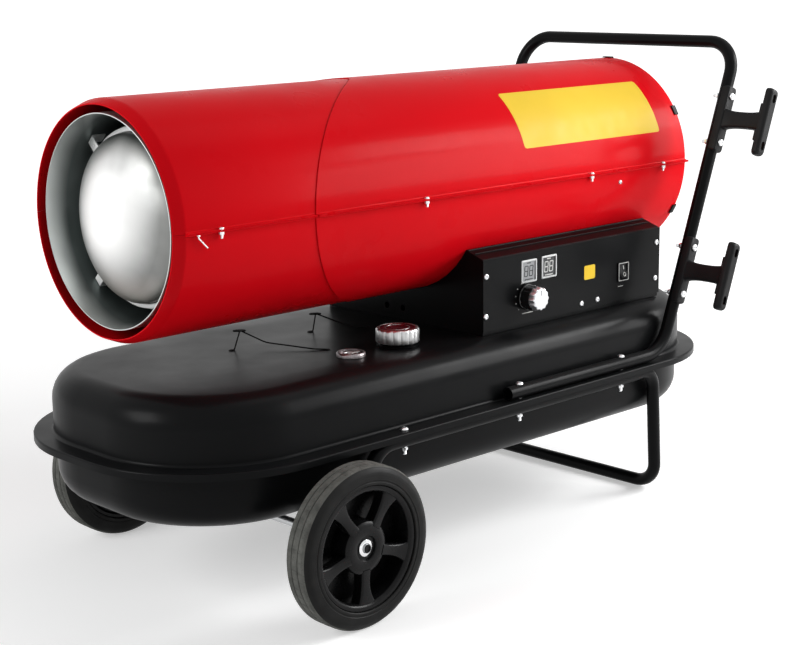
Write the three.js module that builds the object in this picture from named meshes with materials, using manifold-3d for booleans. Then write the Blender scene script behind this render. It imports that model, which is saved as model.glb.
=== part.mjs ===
// Portable forced air heater: a red two-piece barrel with a silver combustion chamber, carried by a
// black base on a flat fuel tank, with two wheels, a rear foot and a bent tube handle.
// Millimetres, +Z up. The outlet faces -X and the control panel faces -Y. Pieces are placed in a
// working frame whose X = 0 is the wheel axle, Y = 0 the middle plane and Z = 0 the floor; the last
// lines move the whole group so that its origin is the middle of the underside.

import * as THREE from 'three';
import { mergeVertices } from 'three/addons/utils/BufferGeometryUtils.js';
import Module from 'manifold-3d';

const wasm = await Module();
wasm.setup();

// ---------------------------------------------------------------- driving dimensions

const SEAT_GAP = 0.3;            // between pieces that rest on or fit into each other
const RUN_GAP = 0.4;             // round a shaft that turns
const SHEET = 1.6;               // pressed steel sheet of the tank
const PLATE = 2;                 // folded plate of the base and the barrel

// Wheels and axle
const WHEEL_DIAMETER = 220;
const WHEEL_WIDTH = 42.6;
const WHEEL_STANDOFF = 68.3;     // from the middle of a rail to a wheel's outer face
const RIM_DIAMETER = 168;
const RIM_WALL = 9;
const RIM_INSET = 2.5;           // rim edge inside the tyre's side face
const WEB_THICKNESS = 4;
const TYRE_SHOULDER = [[0, 11], [3, 4], [8, 0]];   // in from the side face, down from the tread
const SPOKE_COUNT = 5;
const SPOKE_WIDTH = 15;
const SPOKE_DEPTH = 22;
const HUB_DIAMETER = 74;
const HUB_RECESS = 6;            // depth of the pocket round the axle end
const HUB_RECESS_DIAMETER = 32;
const HUB_BOSS_DIAMETER = 34;
const AXLE_DIAMETER = 12;
const AXLE_RING_DIAMETER = 22.5;
const AXLE_RING_THICKNESS = 2.6;

// Fuel tank: two pressed shells joined at a flange
const TANK_FRONT_X = -252.4;
const TANK_LENGTH = 1153;
const TANK_WIDTH = 476.4;
const TANK_CORNER = 202;         // plan radius at the flange edge
const FLANGE_TOP_Z = 229.4;
const FLANGE_LIP = 10;           // turned-down edge of the upper shell
const UPPER_INSET = 27.6;        // upper wall behind the flange edge
const LOWER_INSET = 31;
const UPPER_FILLET = 45.5;
const LOWER_FILLET = 48;
const DECK_Z = 314.6;
const TANK_FLOOR_Z = 139.2;

// Tubes of the chassis and handle
const TUBE_DIAMETER = 20;
const TUBE_WALL = 2;
const RAIL_SETBACK = 14.7;       // middle of a rail inside the tank's flange edge
const SLEEVE_DIAMETER = 24;      // welded sleeve that takes the axle
const SLEEVE_LENGTH = 25;
const DROP_ANGLE = 50;           // front drop of the rail to the axle, from the horizontal
const DROP_BEND = 40;
const REAR_DROP_X = 676;
const REAR_DROP_BEND = 38;
const FOOT_X = 724;
const TUBE_SIDES = 12;
const BEND_STEPS = 3;
const FOOT_SETBACK = 27.5;       // the foot's corners inside the rails
const FOOT_BEND = 45;
const HANDLE_START_X = 338;
const HANDLE_LEG_X = 697.4;      // where the leg's line meets the rail's line
const HANDLE_LEAN = 21.06;       // degrees back from upright
const HANDLE_TOP_Z = 717;
const HANDLE_LEG_BEND = 60;
const HANDLE_TOP_BEND = 52;

// Bolts
const BOLT_DIAMETER = 6;
const BOLT_HEAD_DIAMETER = 11.5;
const BOLT_HEAD_HEIGHT = 3.6;
const NUT_HEIGHT = 4;
const BOLT_END = 6;              // thread that stands out past the nut
const HANDLE_BOLT_X = [363, 596];
const FRONT_BOLT_X = 130.5;

// Barrel
const BARREL_AXIS_Z = 527.3;
const BARREL_DIAMETER = 319.2;
const REAR_BARREL_DIAMETER = 322;
const BARREL_FRONT_X = -189.3;
const BARREL_REAR_X = 833.8;
const MOUTH_DIAMETER = 302.8;
const MOUTH_LENGTH = 15;         // tapered stretch behind the mouth
const SEAM_SIDE_X = 35;          // curved joint line of the barrel at its sides
const SEAM_SWEEP = 225;          // how far further back that line is at the top and bottom
const SEAM_GAP = 1.6;
const LIP_WIDTH = 7;             // side lips where the upper and lower shells are screwed together
const LIP_THICKNESS = 1.4;
const TONGUE = 9;                // stretch of the front shells that tucks into the rear ones

// Combustion chamber and flame deflector
const CHAMBER_DIAMETER = 282;
const CHAMBER_FRONT_X = -183;
const CHAMBER_REAR_X = 300;
const CHAMBER_SHEET = 1.6;
const CHAMBER_SHOULDER = 14;
const BURNER_HOLE_DIAMETER = 90;
const STAY_WIDTH = 16;
const STAY_X = [-110, 20];
const STAY_LENGTH = 20;
const STAY_ANGLES = [30, 150, 270];
const DOME_DIAMETER = 224;
const DOME_RIM_X = -140;
const DOME_HEIGHT = 38;
const DOME_SKIRT = 8;
const RING_DIAMETER = 242;
const RING_FRONT_X = -134;
const RING_LENGTH = 34;
const LEG_ANGLES = [45, 135, 225, 315];
const LEG_WIDTH = 14;
const LEG_LENGTH = 20;

// Burner head and what passes through it
const BURNER_PLATE = 4;
const COLLAR_DIAMETER = 60;
const COLLAR_LENGTH = 30;
const SWIRL_SLOTS = 8;
const NOZZLE_DIAMETER = 18;
const NOZZLE_FRONT_X = 282;
const NOZZLE_LENGTH = 62;
const IGNITER_DIAMETER = 10;
const IGNITER_OFFSET = 20;       // above the axis
const PHOTOCELL_DIAMETER = 13;
const PHOTOCELL_OFFSET = 20;     // towards +Y

// Fan, motor and air pump
const FAN_X = 505;
const FAN_HUB_DIAMETER = 60;
const FAN_HUB_LENGTH = 32;
const FAN_DIAMETER = 300;
const FAN_BLADES = 5;
const FAN_PITCH = 32;            // degrees
const SHAFT_DIAMETER = 12;
const MOTOR_DIAMETER = 110;
const MOTOR_FRONT_X = 560;
const MOTOR_LENGTH = 130;
const BRACKET_X = 610;
const BRACKET_LENGTH = 18;
const BRACKET_ARM = 12;
const BRACKET_ARMS = 3;
const PUMP_DIAMETER = 92;
const PUMP_BODY_LENGTH = 22;
const PUMP_BORE = 60;
const PUMP_ROTOR_DIAMETER = 52;
const PUMP_COVER_LENGTH = 26;

// Rear guard
const GUARD_WIRE = 3;
const GUARD_RINGS = 4;
const GUARD_SPOKES = 6;
const GUARD_HUB_DIAMETER = 30;
const CLIP_WIDTH = 16;

// Base and controls
const BASE_FRONT_X = 345;
const BASE_REAR_X = 757;
const BASE_SIDE_TOP_Z = 428;
const SADDLE_EDGE_Z = 439;       // where the base's top edge meets the barrel
const PANEL_BOTTOM_Z = 321;
const PANEL_MARGIN = 1;
const DISPLAY_WIDTH = 34;
const DISPLAY_HEIGHT = 34;
const DISPLAY_PROUD = 1;
const DISPLAY_RIM = 2;
const DISPLAY_DEPTH = 6;
const DISPLAY_CENTRES = [[443, 399], [488, 400]];
const KNOB_DIAMETER = 39;
const KNOB_LENGTH = 30;
const KNOB_X = 437;
const KNOB_Z = 361;
const KNOB_SHAFT_DIAMETER = 6;
const KNOB_FLUTES = 20;
const KNOB_FLUTE_DEPTH = 1;
const KNOB_SKIRT = 20;           // fluted length
const KNOB_TAPER = 1;            // smaller radius at the grip's front than at its foot
const SWITCH_WIDTH = 26;
const SWITCH_HEIGHT = 30;
const SWITCH_DEPTH = 24;
const SWITCH_X = 664;
const SWITCH_Z = 368;
const ROCKER_WIDTH = 15;
const ROCKER_HEIGHT = 22;
const ROCKER_TILT = 12;          // degrees each way from flat
const ROCKER_FRONT = 6;          // corners in front of the pivot
const ROCKER_BACK = 2;
const ROCKER_TROUGH = 1.5;
const ROCKER_PIN_DIAMETER = 3;
const ROCKER_PIN_REACH = 2;
const PIVOT_DEPTH = 3;           // behind the panel's face
const SWITCH_BEZEL = 2;
const PANEL_SCREW_DIAMETER = 4;
const PANEL_SCREWS = [[350, 403], [349, 344], [749, 404], [747, 346], [564, 331], [602, 332]];
const TRANSFORMER_SIZE = [90, 60, 52];
const TRANSFORMER_X = 540;
const TRANSFORMER_SETBACK = 73;    // its middle behind the base's side
const BOARD_THICKNESS = 1.8;
const BOARD_STANDOFF = 19.3;     // from the panel's back to the board
const BOARD_SPAN = [395, 520, 330, 419];
const BOARD_POST_DIAMETER = 6;
const BOARD_POST_INSET = 5;
const CONTROL_SIZE = 22;         // thermostat control that the knob's shaft enters
const CONTROL_DEPTH = 14;
const TERMINAL_DIAMETER = 14;
const TERMINAL_HEIGHT = 16;
const TERMINAL_SPACING = 50;
const TERMINAL_OFFSET = 15;      // towards the panel from the transformer's middle
const PANEL_FLANGE = 7;          // rim round the opening behind the panel
const END_HOLES = [[34, 334], [-1, 334]];
const END_HOLE_DIAMETER = 10;
const GLAND_DIAMETER = 20;
const GLAND_LENGTH = 22;
const GLAND_NECK = 16;
const GLAND_BORE = 9;
const GLAND_SETBACK = 48;        // its middle behind the base's side
const GLAND_Z = 352;

// Filler, cap and fuel gauge
const FILLER_X = 224;
const FILLER_Y = -115;
const NECK_DIAMETER = 54;
const NECK_WALL = 2.4;
const NECK_HEIGHT = 14.5;        // above the deck
const NECK_DEPTH = 12;           // below the deck
const NECK_FLANGE_DIAMETER = 60;
const NECK_FLANGE_THICKNESS = 2.6;
const STRAINER_DEPTH = 70;
const STRAINER_WALL = 1.2;
const STRAINER_SLOTS = 8;
const STRAINER_SLOT_WIDTH = 6;
const CAP_DIAMETER = 63;
const CAP_HEIGHT = 21;
const CAP_FLUTE_DEPTH = 1.4;
const CAP_THREAD_ROOM = 1;       // between the cap's skirt and the neck
const CAP_RECESS = 5;            // hollow in the cap above the gasket
const CAP_FLUTES = 16;
const CAP_CLEAR = 3;             // under the cap's skirt
const GASKET_THICKNESS = 2.5;
const GAUGE_X = 132;
const GAUGE_Y = -117;
const GAUGE_DIAMETER = 41.6;
const GAUGE_HEIGHT = 6.5;
const GAUGE_STEM_DIAMETER = 24;
const GAUGE_STEM_DEPTH = 36;     // below the deck; the float stops against its end
const GAUGE_ROD_DIAMETER = 8;
const GAUGE_FACE_DEPTH = 3.4;    // pointer's recess
const GAUGE_BEZEL = 3.5;
const POINTER_THICKNESS = 1.2;
const POINTER_WIDTH = 3;
const POINTER_PIN_DIAMETER = 2.4;
const POINTER_PIN_LENGTH = 8;
const FLOAT_DIAMETER = 40;
const FLOAT_HEIGHT = 22;

// Fuel and air lines
const LINE_DIAMETER = 7;
const LINE_SIDES = 8;
const LINE_BEND = 12;
const LINE_BEND_STEPS = 3;
const LINE_BORE = 4;
const FUEL_LINE_X = 410;
const FUEL_LINE_Y = 45;
const FUEL_LINE_TURN_X = 385;
const AIR_LINE_REAR_X = 701;
const AIR_LINE_FRONT_X = 380;
const AIR_LINE_Z = 338;
const AIR_LINE_CROSS_Z = 490;
const PICKUP_CLEAR = 10;         // fuel line's end above the tank floor

// Cord wraps on the near leg of the handle
const WRAP_CENTRES_Z = [366, 598];
const WRAP_LENGTH = 108;
const WRAP_WIDTH = 22;
const WRAP_SADDLE_DEPTH = 13;
const WRAP_REACH = 68;           // from the saddle's face to the crossbar's face
const WRAP_BAR_THICKNESS = 12;
const WRAP_STUB_HEIGHT = 26;
const WRAP_STUB_THICKNESS = 14;
const WRAP_BOLT_SPACING = 76;
const WRAP_TOOL_HOLE = 8;

// ---------------------------------------------------------------- sizes that follow

const AXLE_Z = WHEEL_DIAMETER / 2;
const TUBE_RADIUS = TUBE_DIAMETER / 2;
const TANK_REAR_X = TANK_FRONT_X + TANK_LENGTH;
const RAIL_Y = TANK_WIDTH / 2 - RAIL_SETBACK;    // middle of both rails from the middle plane
const WHEEL_OUTER_Y = RAIL_Y + WHEEL_STANDOFF;
const FOOT_HALF_WIDTH = RAIL_Y - FOOT_SETBACK;
const LOWER_FLANGE_TOP_Z = FLANGE_TOP_Z - SHEET - SEAT_GAP;
const RAIL_Z = LOWER_FLANGE_TOP_Z - SHEET - SEAT_GAP - TUBE_RADIUS;
const HANDLE_RAIL_Z = FLANGE_TOP_Z + SEAT_GAP + TUBE_RADIUS;
const BARREL_RADIUS = BARREL_DIAMETER / 2;
const REAR_BARREL_RADIUS = REAR_BARREL_DIAMETER / 2;
const CHAMBER_RADIUS = CHAMBER_DIAMETER / 2;
const BASE_BOTTOM_Z = DECK_Z + SEAT_GAP;
const SADDLE_RADIUS = REAR_BARREL_RADIUS + SEAT_GAP;
const BASE_HALF_WIDTH = REAR_BARREL_RADIUS + LIP_WIDTH;
const TRANSFORMER_Y = -BASE_HALF_WIDTH + TRANSFORMER_SETBACK;
const GLAND_Y = -BASE_HALF_WIDTH + GLAND_SETBACK;
const PANEL_BACK_Y = -BASE_HALF_WIDTH - SEAT_GAP;
const PANEL_FACE_Y = PANEL_BACK_Y - PLATE;
const BOARD_Y = PANEL_BACK_Y + BOARD_STANDOFF;
const PUMP_X = MOTOR_FRONT_X + MOTOR_LENGTH + SEAT_GAP;
const BOLT_HOLE = BOLT_DIAMETER + 2 * SEAT_GAP;
const LINE_HOLE = LINE_DIAMETER + 4 * SEAT_GAP;
const RAIL_BOLT_X = [FRONT_BOLT_X, ...HANDLE_BOLT_X];
const LEAN = THREE.MathUtils.degToRad(HANDLE_LEAN);

// ---------------------------------------------------------------- finishes

const finish = (color, roughness, metalness) =>
  new THREE.MeshStandardMaterial({ color, roughness, metalness });
const redPaint = () => finish(0xc00d12, 0.28, 0.0);
const blackPaint = () => finish(0x0c0c0d, 0.35, 0.0);
const blackPlastic = () => finish(0x121212, 0.55, 0.0);
const rubber = () => finish(0x4a4a46, 0.85, 0.0);
const silverSheet = () => finish(0xb9bbb8, 0.35, 0.9);
const zinc = () => finish(0xc4c6c8, 0.3, 1.0);
const chrome = () => finish(0xd6d8da, 0.12, 1.0);
const castAluminium = () => finish(0x9b9da0, 0.5, 0.9);
const motorGrey = () => finish(0x55585c, 0.5, 0.4);
const brass = () => finish(0xb08a3a, 0.35, 0.9);
const ceramic = () => finish(0xe6e1d6, 0.4, 0.0);
const copper = () => finish(0xb06a3c, 0.35, 0.9);
const boardGreen = () => finish(0x1d5a34, 0.6, 0.0);
const displayGrey = () => finish(0xcfd4d2, 0.4, 0.0);

// ---------------------------------------------------------------- shaping helpers

// A closed geometry as a solid for joins and cuts, with its faces turned outwards.
function solidOf(geometry) {
  const plain = geometry.clone();
  plain.deleteAttribute('normal');
  plain.deleteAttribute('uv');
  const merged = mergeVertices(plain, 1e-4);
  const place = merged.getAttribute('position').array;
  const triangles = [];
  let volume = 0;
  for (let i = 0; i < merged.index.count; i += 3) {
    const [a, b, c] = [0, 1, 2].map((k) => merged.index.getX(i + k));
    if (a === b || b === c || c === a) continue;
    triangles.push(a, b, c);
    const [p, q, r] = [a, b, c].map((k) => new THREE.Vector3().fromArray(place, 3 * k));
    volume += p.dot(q.cross(r));
  }
  if (volume < 0) triangles.reverse();
  const vertProperties = new Float32Array(place);
  const triVerts = new Uint32Array(triangles);
  return new wasm.Manifold(new wasm.Mesh({ numProp: 3, vertProperties, triVerts }));
}

function geometryOf(solid) {
  const mesh = solid.getMesh();
  const geometry = new THREE.BufferGeometry();
  geometry.setAttribute('position', new THREE.BufferAttribute(mesh.vertProperties, 3));
  geometry.setIndex(new THREE.BufferAttribute(mesh.triVerts, 1));
  return geometry;
}

const join = (...geometries) => geometries.map(solidOf).reduce((sum, next) => sum.add(next));
const cut = (solid, ...tools) => tools.map(solidOf).reduce((rest, tool) => rest.subtract(tool), solid);

const box = (x1, x2, y1, y2, z1, z2) =>
  new THREE.BoxGeometry(x2 - x1, y2 - y1, z2 - z1).translate((x1 + x2) / 2, (y1 + y2) / 2, (z1 + z2) / 2);

// A turned piece from [distance along the axis, radius] pairs.
function turned(axis, profile, segments) {
  const points = profile.map(([along, radius]) => new THREE.Vector2(radius, along));
  const geometry = new THREE.LatheGeometry(points, segments);
  if (axis === 'x') geometry.rotateZ(-Math.PI / 2);
  if (axis === 'z') geometry.rotateX(Math.PI / 2);
  return geometry;
}

const rod = (axis, from, to, diameter, segments) =>
  turned(axis, [[from, 0], [from, diameter / 2], [to, diameter / 2], [to, 0]], segments);

function ring(axis, from, to, outer, inner, segments) {
  const corners = [[from, inner / 2], [from, outer / 2], [to, outer / 2], [to, inner / 2]];
  return turned(axis, [...corners, corners[0]], segments);
}

// A path of straight stretches joined by round bends. Only the bends get extra steps.
class BentPath extends THREE.Curve {
  constructor(corners, bends, stepsPerBend) {
    super();
    const last = corners.length - 1;
    this.knots = [corners[0]];
    this.tangents = [corners[1].clone().sub(corners[0]).normalize()];
    for (let i = 1; i < last; i += 1) this.addBend(corners, i, bends[i - 1], stepsPerBend);
    this.knots.push(corners[last]);
    this.tangents.push(corners[last].clone().sub(corners[last - 1]).normalize());
  }

  addBend(corners, i, radius, steps) {
    const back = corners[i - 1].clone().sub(corners[i]).normalize();
    const ahead = corners[i + 1].clone().sub(corners[i]).normalize();
    const half = back.angleTo(ahead) / 2;
    const middle = back.clone().add(ahead).normalize().multiplyScalar(radius / Math.sin(half));
    const centre = corners[i].clone().add(middle);
    const reach = radius / Math.tan(half);
    const start = corners[i].clone().addScaledVector(back, reach).sub(centre);
    const end = corners[i].clone().addScaledVector(ahead, reach).sub(centre);
    const turn = start.angleTo(end);
    for (let k = 0; k <= steps; k += 1) {
      const left = (1 - k / steps) * turn;
      const done = turn - left;
      const from = start.clone().multiplyScalar(1 / Math.sin(turn));
      const to = end.clone().multiplyScalar(1 / Math.sin(turn));
      const arm = from.clone().multiplyScalar(Math.sin(left)).addScaledVector(to, Math.sin(done));
      this.knots.push(centre.clone().add(arm));
      const along = from.multiplyScalar(-Math.cos(left)).addScaledVector(to, Math.cos(done));
      this.tangents.push(along.normalize());
    }
  }

  get steps() {
    return this.knots.length - 1;
  }

  getPoint(t) {
    const place = Math.min(t * this.steps, this.steps - 1e-9);
    const index = Math.floor(place);
    return this.knots[index].clone().lerp(this.knots[index + 1], place - index);
  }

  getUtoTmapping(u) {
    return u;
  }

  getTangent(t) {
    return this.tangents[Math.round(t * this.steps)].clone();
  }
}

// A tube along a bent path, with one of its flats facing down at the given knot.
function bentTube(path, diameter, bore, sides, knot) {
  const frames = path.computeFrenetFrames(path.steps, false);
  const down = new THREE.Vector3(0, 0, -1);
  const lean = Math.atan2(down.dot(frames.binormals[knot]), down.dot(frames.normals[knot]));
  const turn = lean + Math.PI / sides;
  const outline = (radius, count) => Array.from({ length: count }, (_, k) => {
    const angle = turn + (k * 2 * Math.PI) / count;
    return new THREE.Vector2(radius * Math.cos(angle), radius * Math.sin(angle));
  });
  const section = new THREE.Shape(outline(diameter / 2, sides));
  section.holes.push(new THREE.Path(outline(bore / 2, sides / 2)));
  return new THREE.ExtrudeGeometry(section, { extrudePath: path, steps: path.steps });
}

// Rows of equally many points as a closed body; the first and last rows are flat and closed over.
function lofted(rows) {
  const count = rows[0].length;
  const geometry = new THREE.BufferGeometry();
  const places = rows.flat().flatMap((p) => p.toArray());
  geometry.setAttribute('position', new THREE.Float32BufferAttribute(places, 3));
  const index = [];
  for (let r = 0; r < rows.length - 1; r += 1) {
    for (let i = 0; i < count; i += 1) {
      const a = r * count + i;
      const b = r * count + ((i + 1) % count);
      index.push(a, b, b + count, a, b + count, a + count);
    }
  }
  const last = (rows.length - 1) * count;
  for (let i = 1; i < count - 1; i += 1) {
    index.push(0, i + 1, i);
    index.push(last, last + i, last + i + 1);
  }
  geometry.setIndex(index);
  return geometry;
}

const CORNER_STEPS = 6;

// The tank's plan outline, moved in by an inset, at one height.
function tankOutline(inset, z) {
  const radius = TANK_CORNER - inset;
  const middleY = TANK_WIDTH / 2 - TANK_CORNER;
  const middles = [
    [TANK_REAR_X - TANK_CORNER, middleY],
    [TANK_FRONT_X + TANK_CORNER, middleY],
    [TANK_FRONT_X + TANK_CORNER, -middleY],
    [TANK_REAR_X - TANK_CORNER, -middleY],
  ];
  const points = [];
  middles.forEach(([x, y], quarter) => {
    for (let k = 0; k <= CORNER_STEPS; k += 1) {
      const angle = (quarter + k / CORNER_STEPS) * (Math.PI / 2);
      points.push(new THREE.Vector3(x + radius * Math.cos(angle), y + radius * Math.sin(angle), z));
    }
  });
  return points;
}

const FILLET_STEPS = 3;

// Rows up a wall and round its fillet to the flat; side is +1 for the upper shell and -1 below.
function panWall(inset, fillet, flatZ, side, foldZ) {
  const rows = [tankOutline(inset, foldZ)];
  for (let k = 0; k <= FILLET_STEPS; k += 1) {
    const angle = (k / FILLET_STEPS) * (Math.PI / 2);
    const z = flatZ - side * fillet * (1 - Math.sin(angle));
    rows.push(tankOutline(inset + fillet * (1 - Math.cos(angle)), z));
  }
  return rows;
}

const group = new THREE.Group();

function add(name, look, shape) {
  const mesh = new THREE.Mesh(geometryOf(shape), look);
  mesh.name = name;
  group.add(mesh);
}

const at = (x, y, z) => new THREE.Vector3(x, y, z);
const post = (x, y, z1, z2, diameter, sides) => rod('z', z1, z2, diameter, sides).translate(x, y, 0);
const extruded = (shape, depth, curveSegments = 12) =>
  new THREE.ExtrudeGeometry(shape, { depth, curveSegments, bevelEnabled: false });

// A section drawn in Y and Z, run along X from x1 to x2.
function alongX(shape, x1, x2) {
  const turn = new THREE.Matrix4().makeBasis(at(0, 1, 0), at(0, 0, 1), at(1, 0, 0));
  return extruded(shape, x2 - x1).applyMatrix4(turn).translate(x1, 0, 0);
}

// ---------------------------------------------------------------- fuel tank

const boltHole = (x, y) => post(x, y, RAIL_Z - TUBE_DIAMETER, HANDLE_RAIL_Z + TUBE_DIAMETER, BOLT_HOLE, 8);
const railBoltHoles = () => RAIL_BOLT_X.flatMap((x) => [boltHole(x, -RAIL_Y), boltHole(x, RAIL_Y)]);

function tankUpperShell() {
  const lipZ = FLANGE_TOP_Z - FLANGE_LIP;
  const foldZ = FLANGE_TOP_Z - SHEET;
  const inner = [
    tankOutline(SHEET, lipZ),
    tankOutline(SHEET, foldZ),
    ...panWall(UPPER_INSET + SHEET, UPPER_FILLET - SHEET, DECK_Z - SHEET, 1, foldZ),
  ];
  const outer = [
    tankOutline(0, lipZ),
    tankOutline(0, FLANGE_TOP_Z),
    ...panWall(UPPER_INSET, UPPER_FILLET, DECK_Z, 1, FLANGE_TOP_Z),
  ];
  const shell = solidOf(lofted([...inner.reverse(), ...outer]));
  const deckHole = (x, y, diameter) =>
    post(x, y, DECK_Z - UPPER_FILLET, DECK_Z + SHEET, diameter, ROUND_SIDES);
  return cut(
    shell,
    ...railBoltHoles(),
    deckHole(FILLER_X, FILLER_Y, NECK_DIAMETER + 2 * SEAT_GAP),
    deckHole(GAUGE_X, GAUGE_Y, GAUGE_STEM_DIAMETER + 2 * SEAT_GAP),
    deckHole(FUEL_LINE_X, FUEL_LINE_Y, LINE_HOLE),
  );
}

function tankLowerShell() {
  const rim = SHEET + SEAT_GAP;
  const foldZ = LOWER_FLANGE_TOP_Z - SHEET;
  const innerFloorZ = TANK_FLOOR_Z + SHEET;
  const inner = panWall(LOWER_INSET + SHEET, LOWER_FILLET - SHEET, innerFloorZ, -1, LOWER_FLANGE_TOP_Z);
  const flange = [tankOutline(rim, LOWER_FLANGE_TOP_Z), tankOutline(rim, foldZ)];
  const outer = panWall(LOWER_INSET, LOWER_FILLET, TANK_FLOOR_Z, -1, foldZ);
  return cut(solidOf(lofted([...inner.reverse(), ...flange, ...outer])), ...railBoltHoles());
}

// ---------------------------------------------------------------- chassis, handle and bolts

const mirrored = (points) => [...points, ...points.slice().reverse().map((p) => at(p.x, -p.y, p.z))];

function chassisTube() {
  const footZ = TUBE_RADIUS * Math.cos(Math.PI / TUBE_SIDES);
  const dropX = (RAIL_Z - AXLE_Z) / Math.tan(THREE.MathUtils.degToRad(DROP_ANGLE));
  const corners = mirrored([
    at(0, -RAIL_Y, AXLE_Z),
    at(dropX, -RAIL_Y, RAIL_Z),
    at(REAR_DROP_X, -RAIL_Y, RAIL_Z),
    at(FOOT_X, -FOOT_HALF_WIDTH, footZ),
  ]);
  const bends = [DROP_BEND, REAR_DROP_BEND, FOOT_BEND, FOOT_BEND, REAR_DROP_BEND, DROP_BEND];
  const path = new BentPath(corners, bends, BEND_STEPS);
  const footKnot = (path.steps - 1) / 2;
  const tube = bentTube(path, TUBE_DIAMETER, TUBE_DIAMETER - 2 * TUBE_WALL, TUBE_SIDES, footKnot);
  const sleeves = [-RAIL_Y, RAIL_Y].map((y) =>
    rod('y', y - SLEEVE_LENGTH / 2, y + SLEEVE_LENGTH / 2, SLEEVE_DIAMETER, 16).translate(0, 0, AXLE_Z));
  const bore = rod('y', -WHEEL_OUTER_Y, WHEEL_OUTER_Y, AXLE_DIAMETER + 2 * SEAT_GAP, 16)
    .translate(0, 0, AXLE_Z);
  return cut(join(tube, ...sleeves), bore, ...railBoltHoles());
}

const legX = (z) => HANDLE_LEG_X + (z - HANDLE_RAIL_Z) * Math.tan(LEAN);

function handleTube() {
  const corners = mirrored([
    at(HANDLE_START_X, -RAIL_Y, HANDLE_RAIL_Z),
    at(HANDLE_LEG_X, -RAIL_Y, HANDLE_RAIL_Z),
    at(legX(HANDLE_TOP_Z), -RAIL_Y, HANDLE_TOP_Z),
  ]);
  const bends = [HANDLE_LEG_BEND, HANDLE_TOP_BEND, HANDLE_TOP_BEND, HANDLE_LEG_BEND];
  const path = new BentPath(corners, bends, BEND_STEPS);
  const tube = bentTube(path, TUBE_DIAMETER, TUBE_DIAMETER - 2 * TUBE_WALL, TUBE_SIDES, 0);
  return cut(solidOf(tube), ...railBoltHoles(), ...wrapBoltPlaces().map(wrapBoltHole));
}

// A bolt with its nut, from the underside of its head at z = 0 down to the nut's face at -grip.
function boltShape(grip) {
  const shank = BOLT_DIAMETER / 2;
  const head = BOLT_HEAD_DIAMETER / 2;
  const end = -grip - NUT_HEIGHT - BOLT_END;
  const profile = [
    [end, 0], [end, shank], [-grip - NUT_HEIGHT, shank], [-grip - NUT_HEIGHT, head - 1],
    [-grip, head - 1], [-grip, shank], [0, shank], [0, head],
    [BOLT_HEAD_HEIGHT / 2, head], [BOLT_HEAD_HEIGHT, head * 0.6], [BOLT_HEAD_HEIGHT, 0],
  ];
  return turned('z', profile, 6);
}

function frameBolt(x, y) {
  const throughHandle = HANDLE_BOLT_X.includes(x);
  const top = (throughHandle ? HANDLE_RAIL_Z + TUBE_RADIUS : FLANGE_TOP_Z) + SEAT_GAP;
  const bottom = RAIL_Z - TUBE_RADIUS - SEAT_GAP;
  return solidOf(boltShape(top - bottom).translate(x, y, top));
}

// ---------------------------------------------------------------- cord wraps

// From the leg's own frame, with Z along the leg, to its place at one height.
const onLeg = (geometry, z) => geometry.rotateY(LEAN).translate(legX(z), -RAIL_Y, z);
const saddleFaceY = -TUBE_RADIUS - SEAT_GAP - WRAP_SADDLE_DEPTH / 4;

const wrapEnds = [-WRAP_BOLT_SPACING / 2, WRAP_BOLT_SPACING / 2];

function wrapBoltPlaces() {
  return WRAP_CENTRES_Z.flatMap((z) => wrapEnds.map((offset) => ({ z, offset })));
}

const wrapBoltHole = ({ z, offset }) =>
  onLeg(rod('y', -WRAP_REACH, WRAP_REACH, BOLT_HOLE, 8).translate(0, 0, offset), z);

function wrapBolt({ z, offset }) {
  const grip = TUBE_RADIUS + SEAT_GAP - saddleFaceY + SEAT_GAP;
  const bolt = boltShape(grip).rotateX(Math.PI / 2).translate(0, saddleFaceY - SEAT_GAP, offset);
  return solidOf(onLeg(bolt, z));
}

function cordWrap(z) {
  const half = WRAP_WIDTH / 2;
  const barY = saddleFaceY - WRAP_REACH;
  const reach = WRAP_LENGTH / 2;
  const saddle = box(-half, half, saddleFaceY, saddleFaceY + WRAP_SADDLE_DEPTH, -reach, reach);
  const stubHalf = [WRAP_STUB_THICKNESS / 2, WRAP_STUB_HEIGHT / 2];
  const stub = box(-stubHalf[0], stubHalf[0], barY - 1, saddleFaceY + 1, -stubHalf[1], stubHalf[1]);
  const bar = rod('z', -reach, reach, WRAP_WIDTH, 10).scale(1, (2 * WRAP_BAR_THICKNESS) / WRAP_WIDTH, 1)
    .translate(0, barY, 0);
  const room = (TUBE_DIAMETER + 2 * SEAT_GAP) / Math.cos(Math.PI / TUBE_SIDES);
  const tubeRoom = rod('z', -WRAP_LENGTH, WRAP_LENGTH, room, TUBE_SIDES);
  const hollow = box(-WRAP_WIDTH, WRAP_WIDTH, barY, saddleFaceY - 1, -WRAP_LENGTH, WRAP_LENGTH);
  const outerBar = cut(solidOf(bar), hollow);
  const toolHoles = wrapEnds.map((end) =>
    rod('y', barY - WRAP_WIDTH, barY + 1, WRAP_TOOL_HOLE, 8).translate(0, 0, end));
  const boltHoles = wrapEnds.map((end) =>
    rod('y', saddleFaceY - 1, TUBE_DIAMETER, BOLT_HOLE, 8).translate(0, 0, end));
  const body = cut(outerBar.add(join(saddle, stub)), tubeRoom, ...toolHoles, ...boltHoles);
  return solidOf(onLeg(geometryOf(body), z));
}

// ---------------------------------------------------------------- wheels

const SLEEVE_END_Y = RAIL_Y + SLEEVE_LENGTH / 2;
const HUB_FLOOR_Y = WHEEL_OUTER_Y - RIM_INSET - HUB_RECESS;

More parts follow.
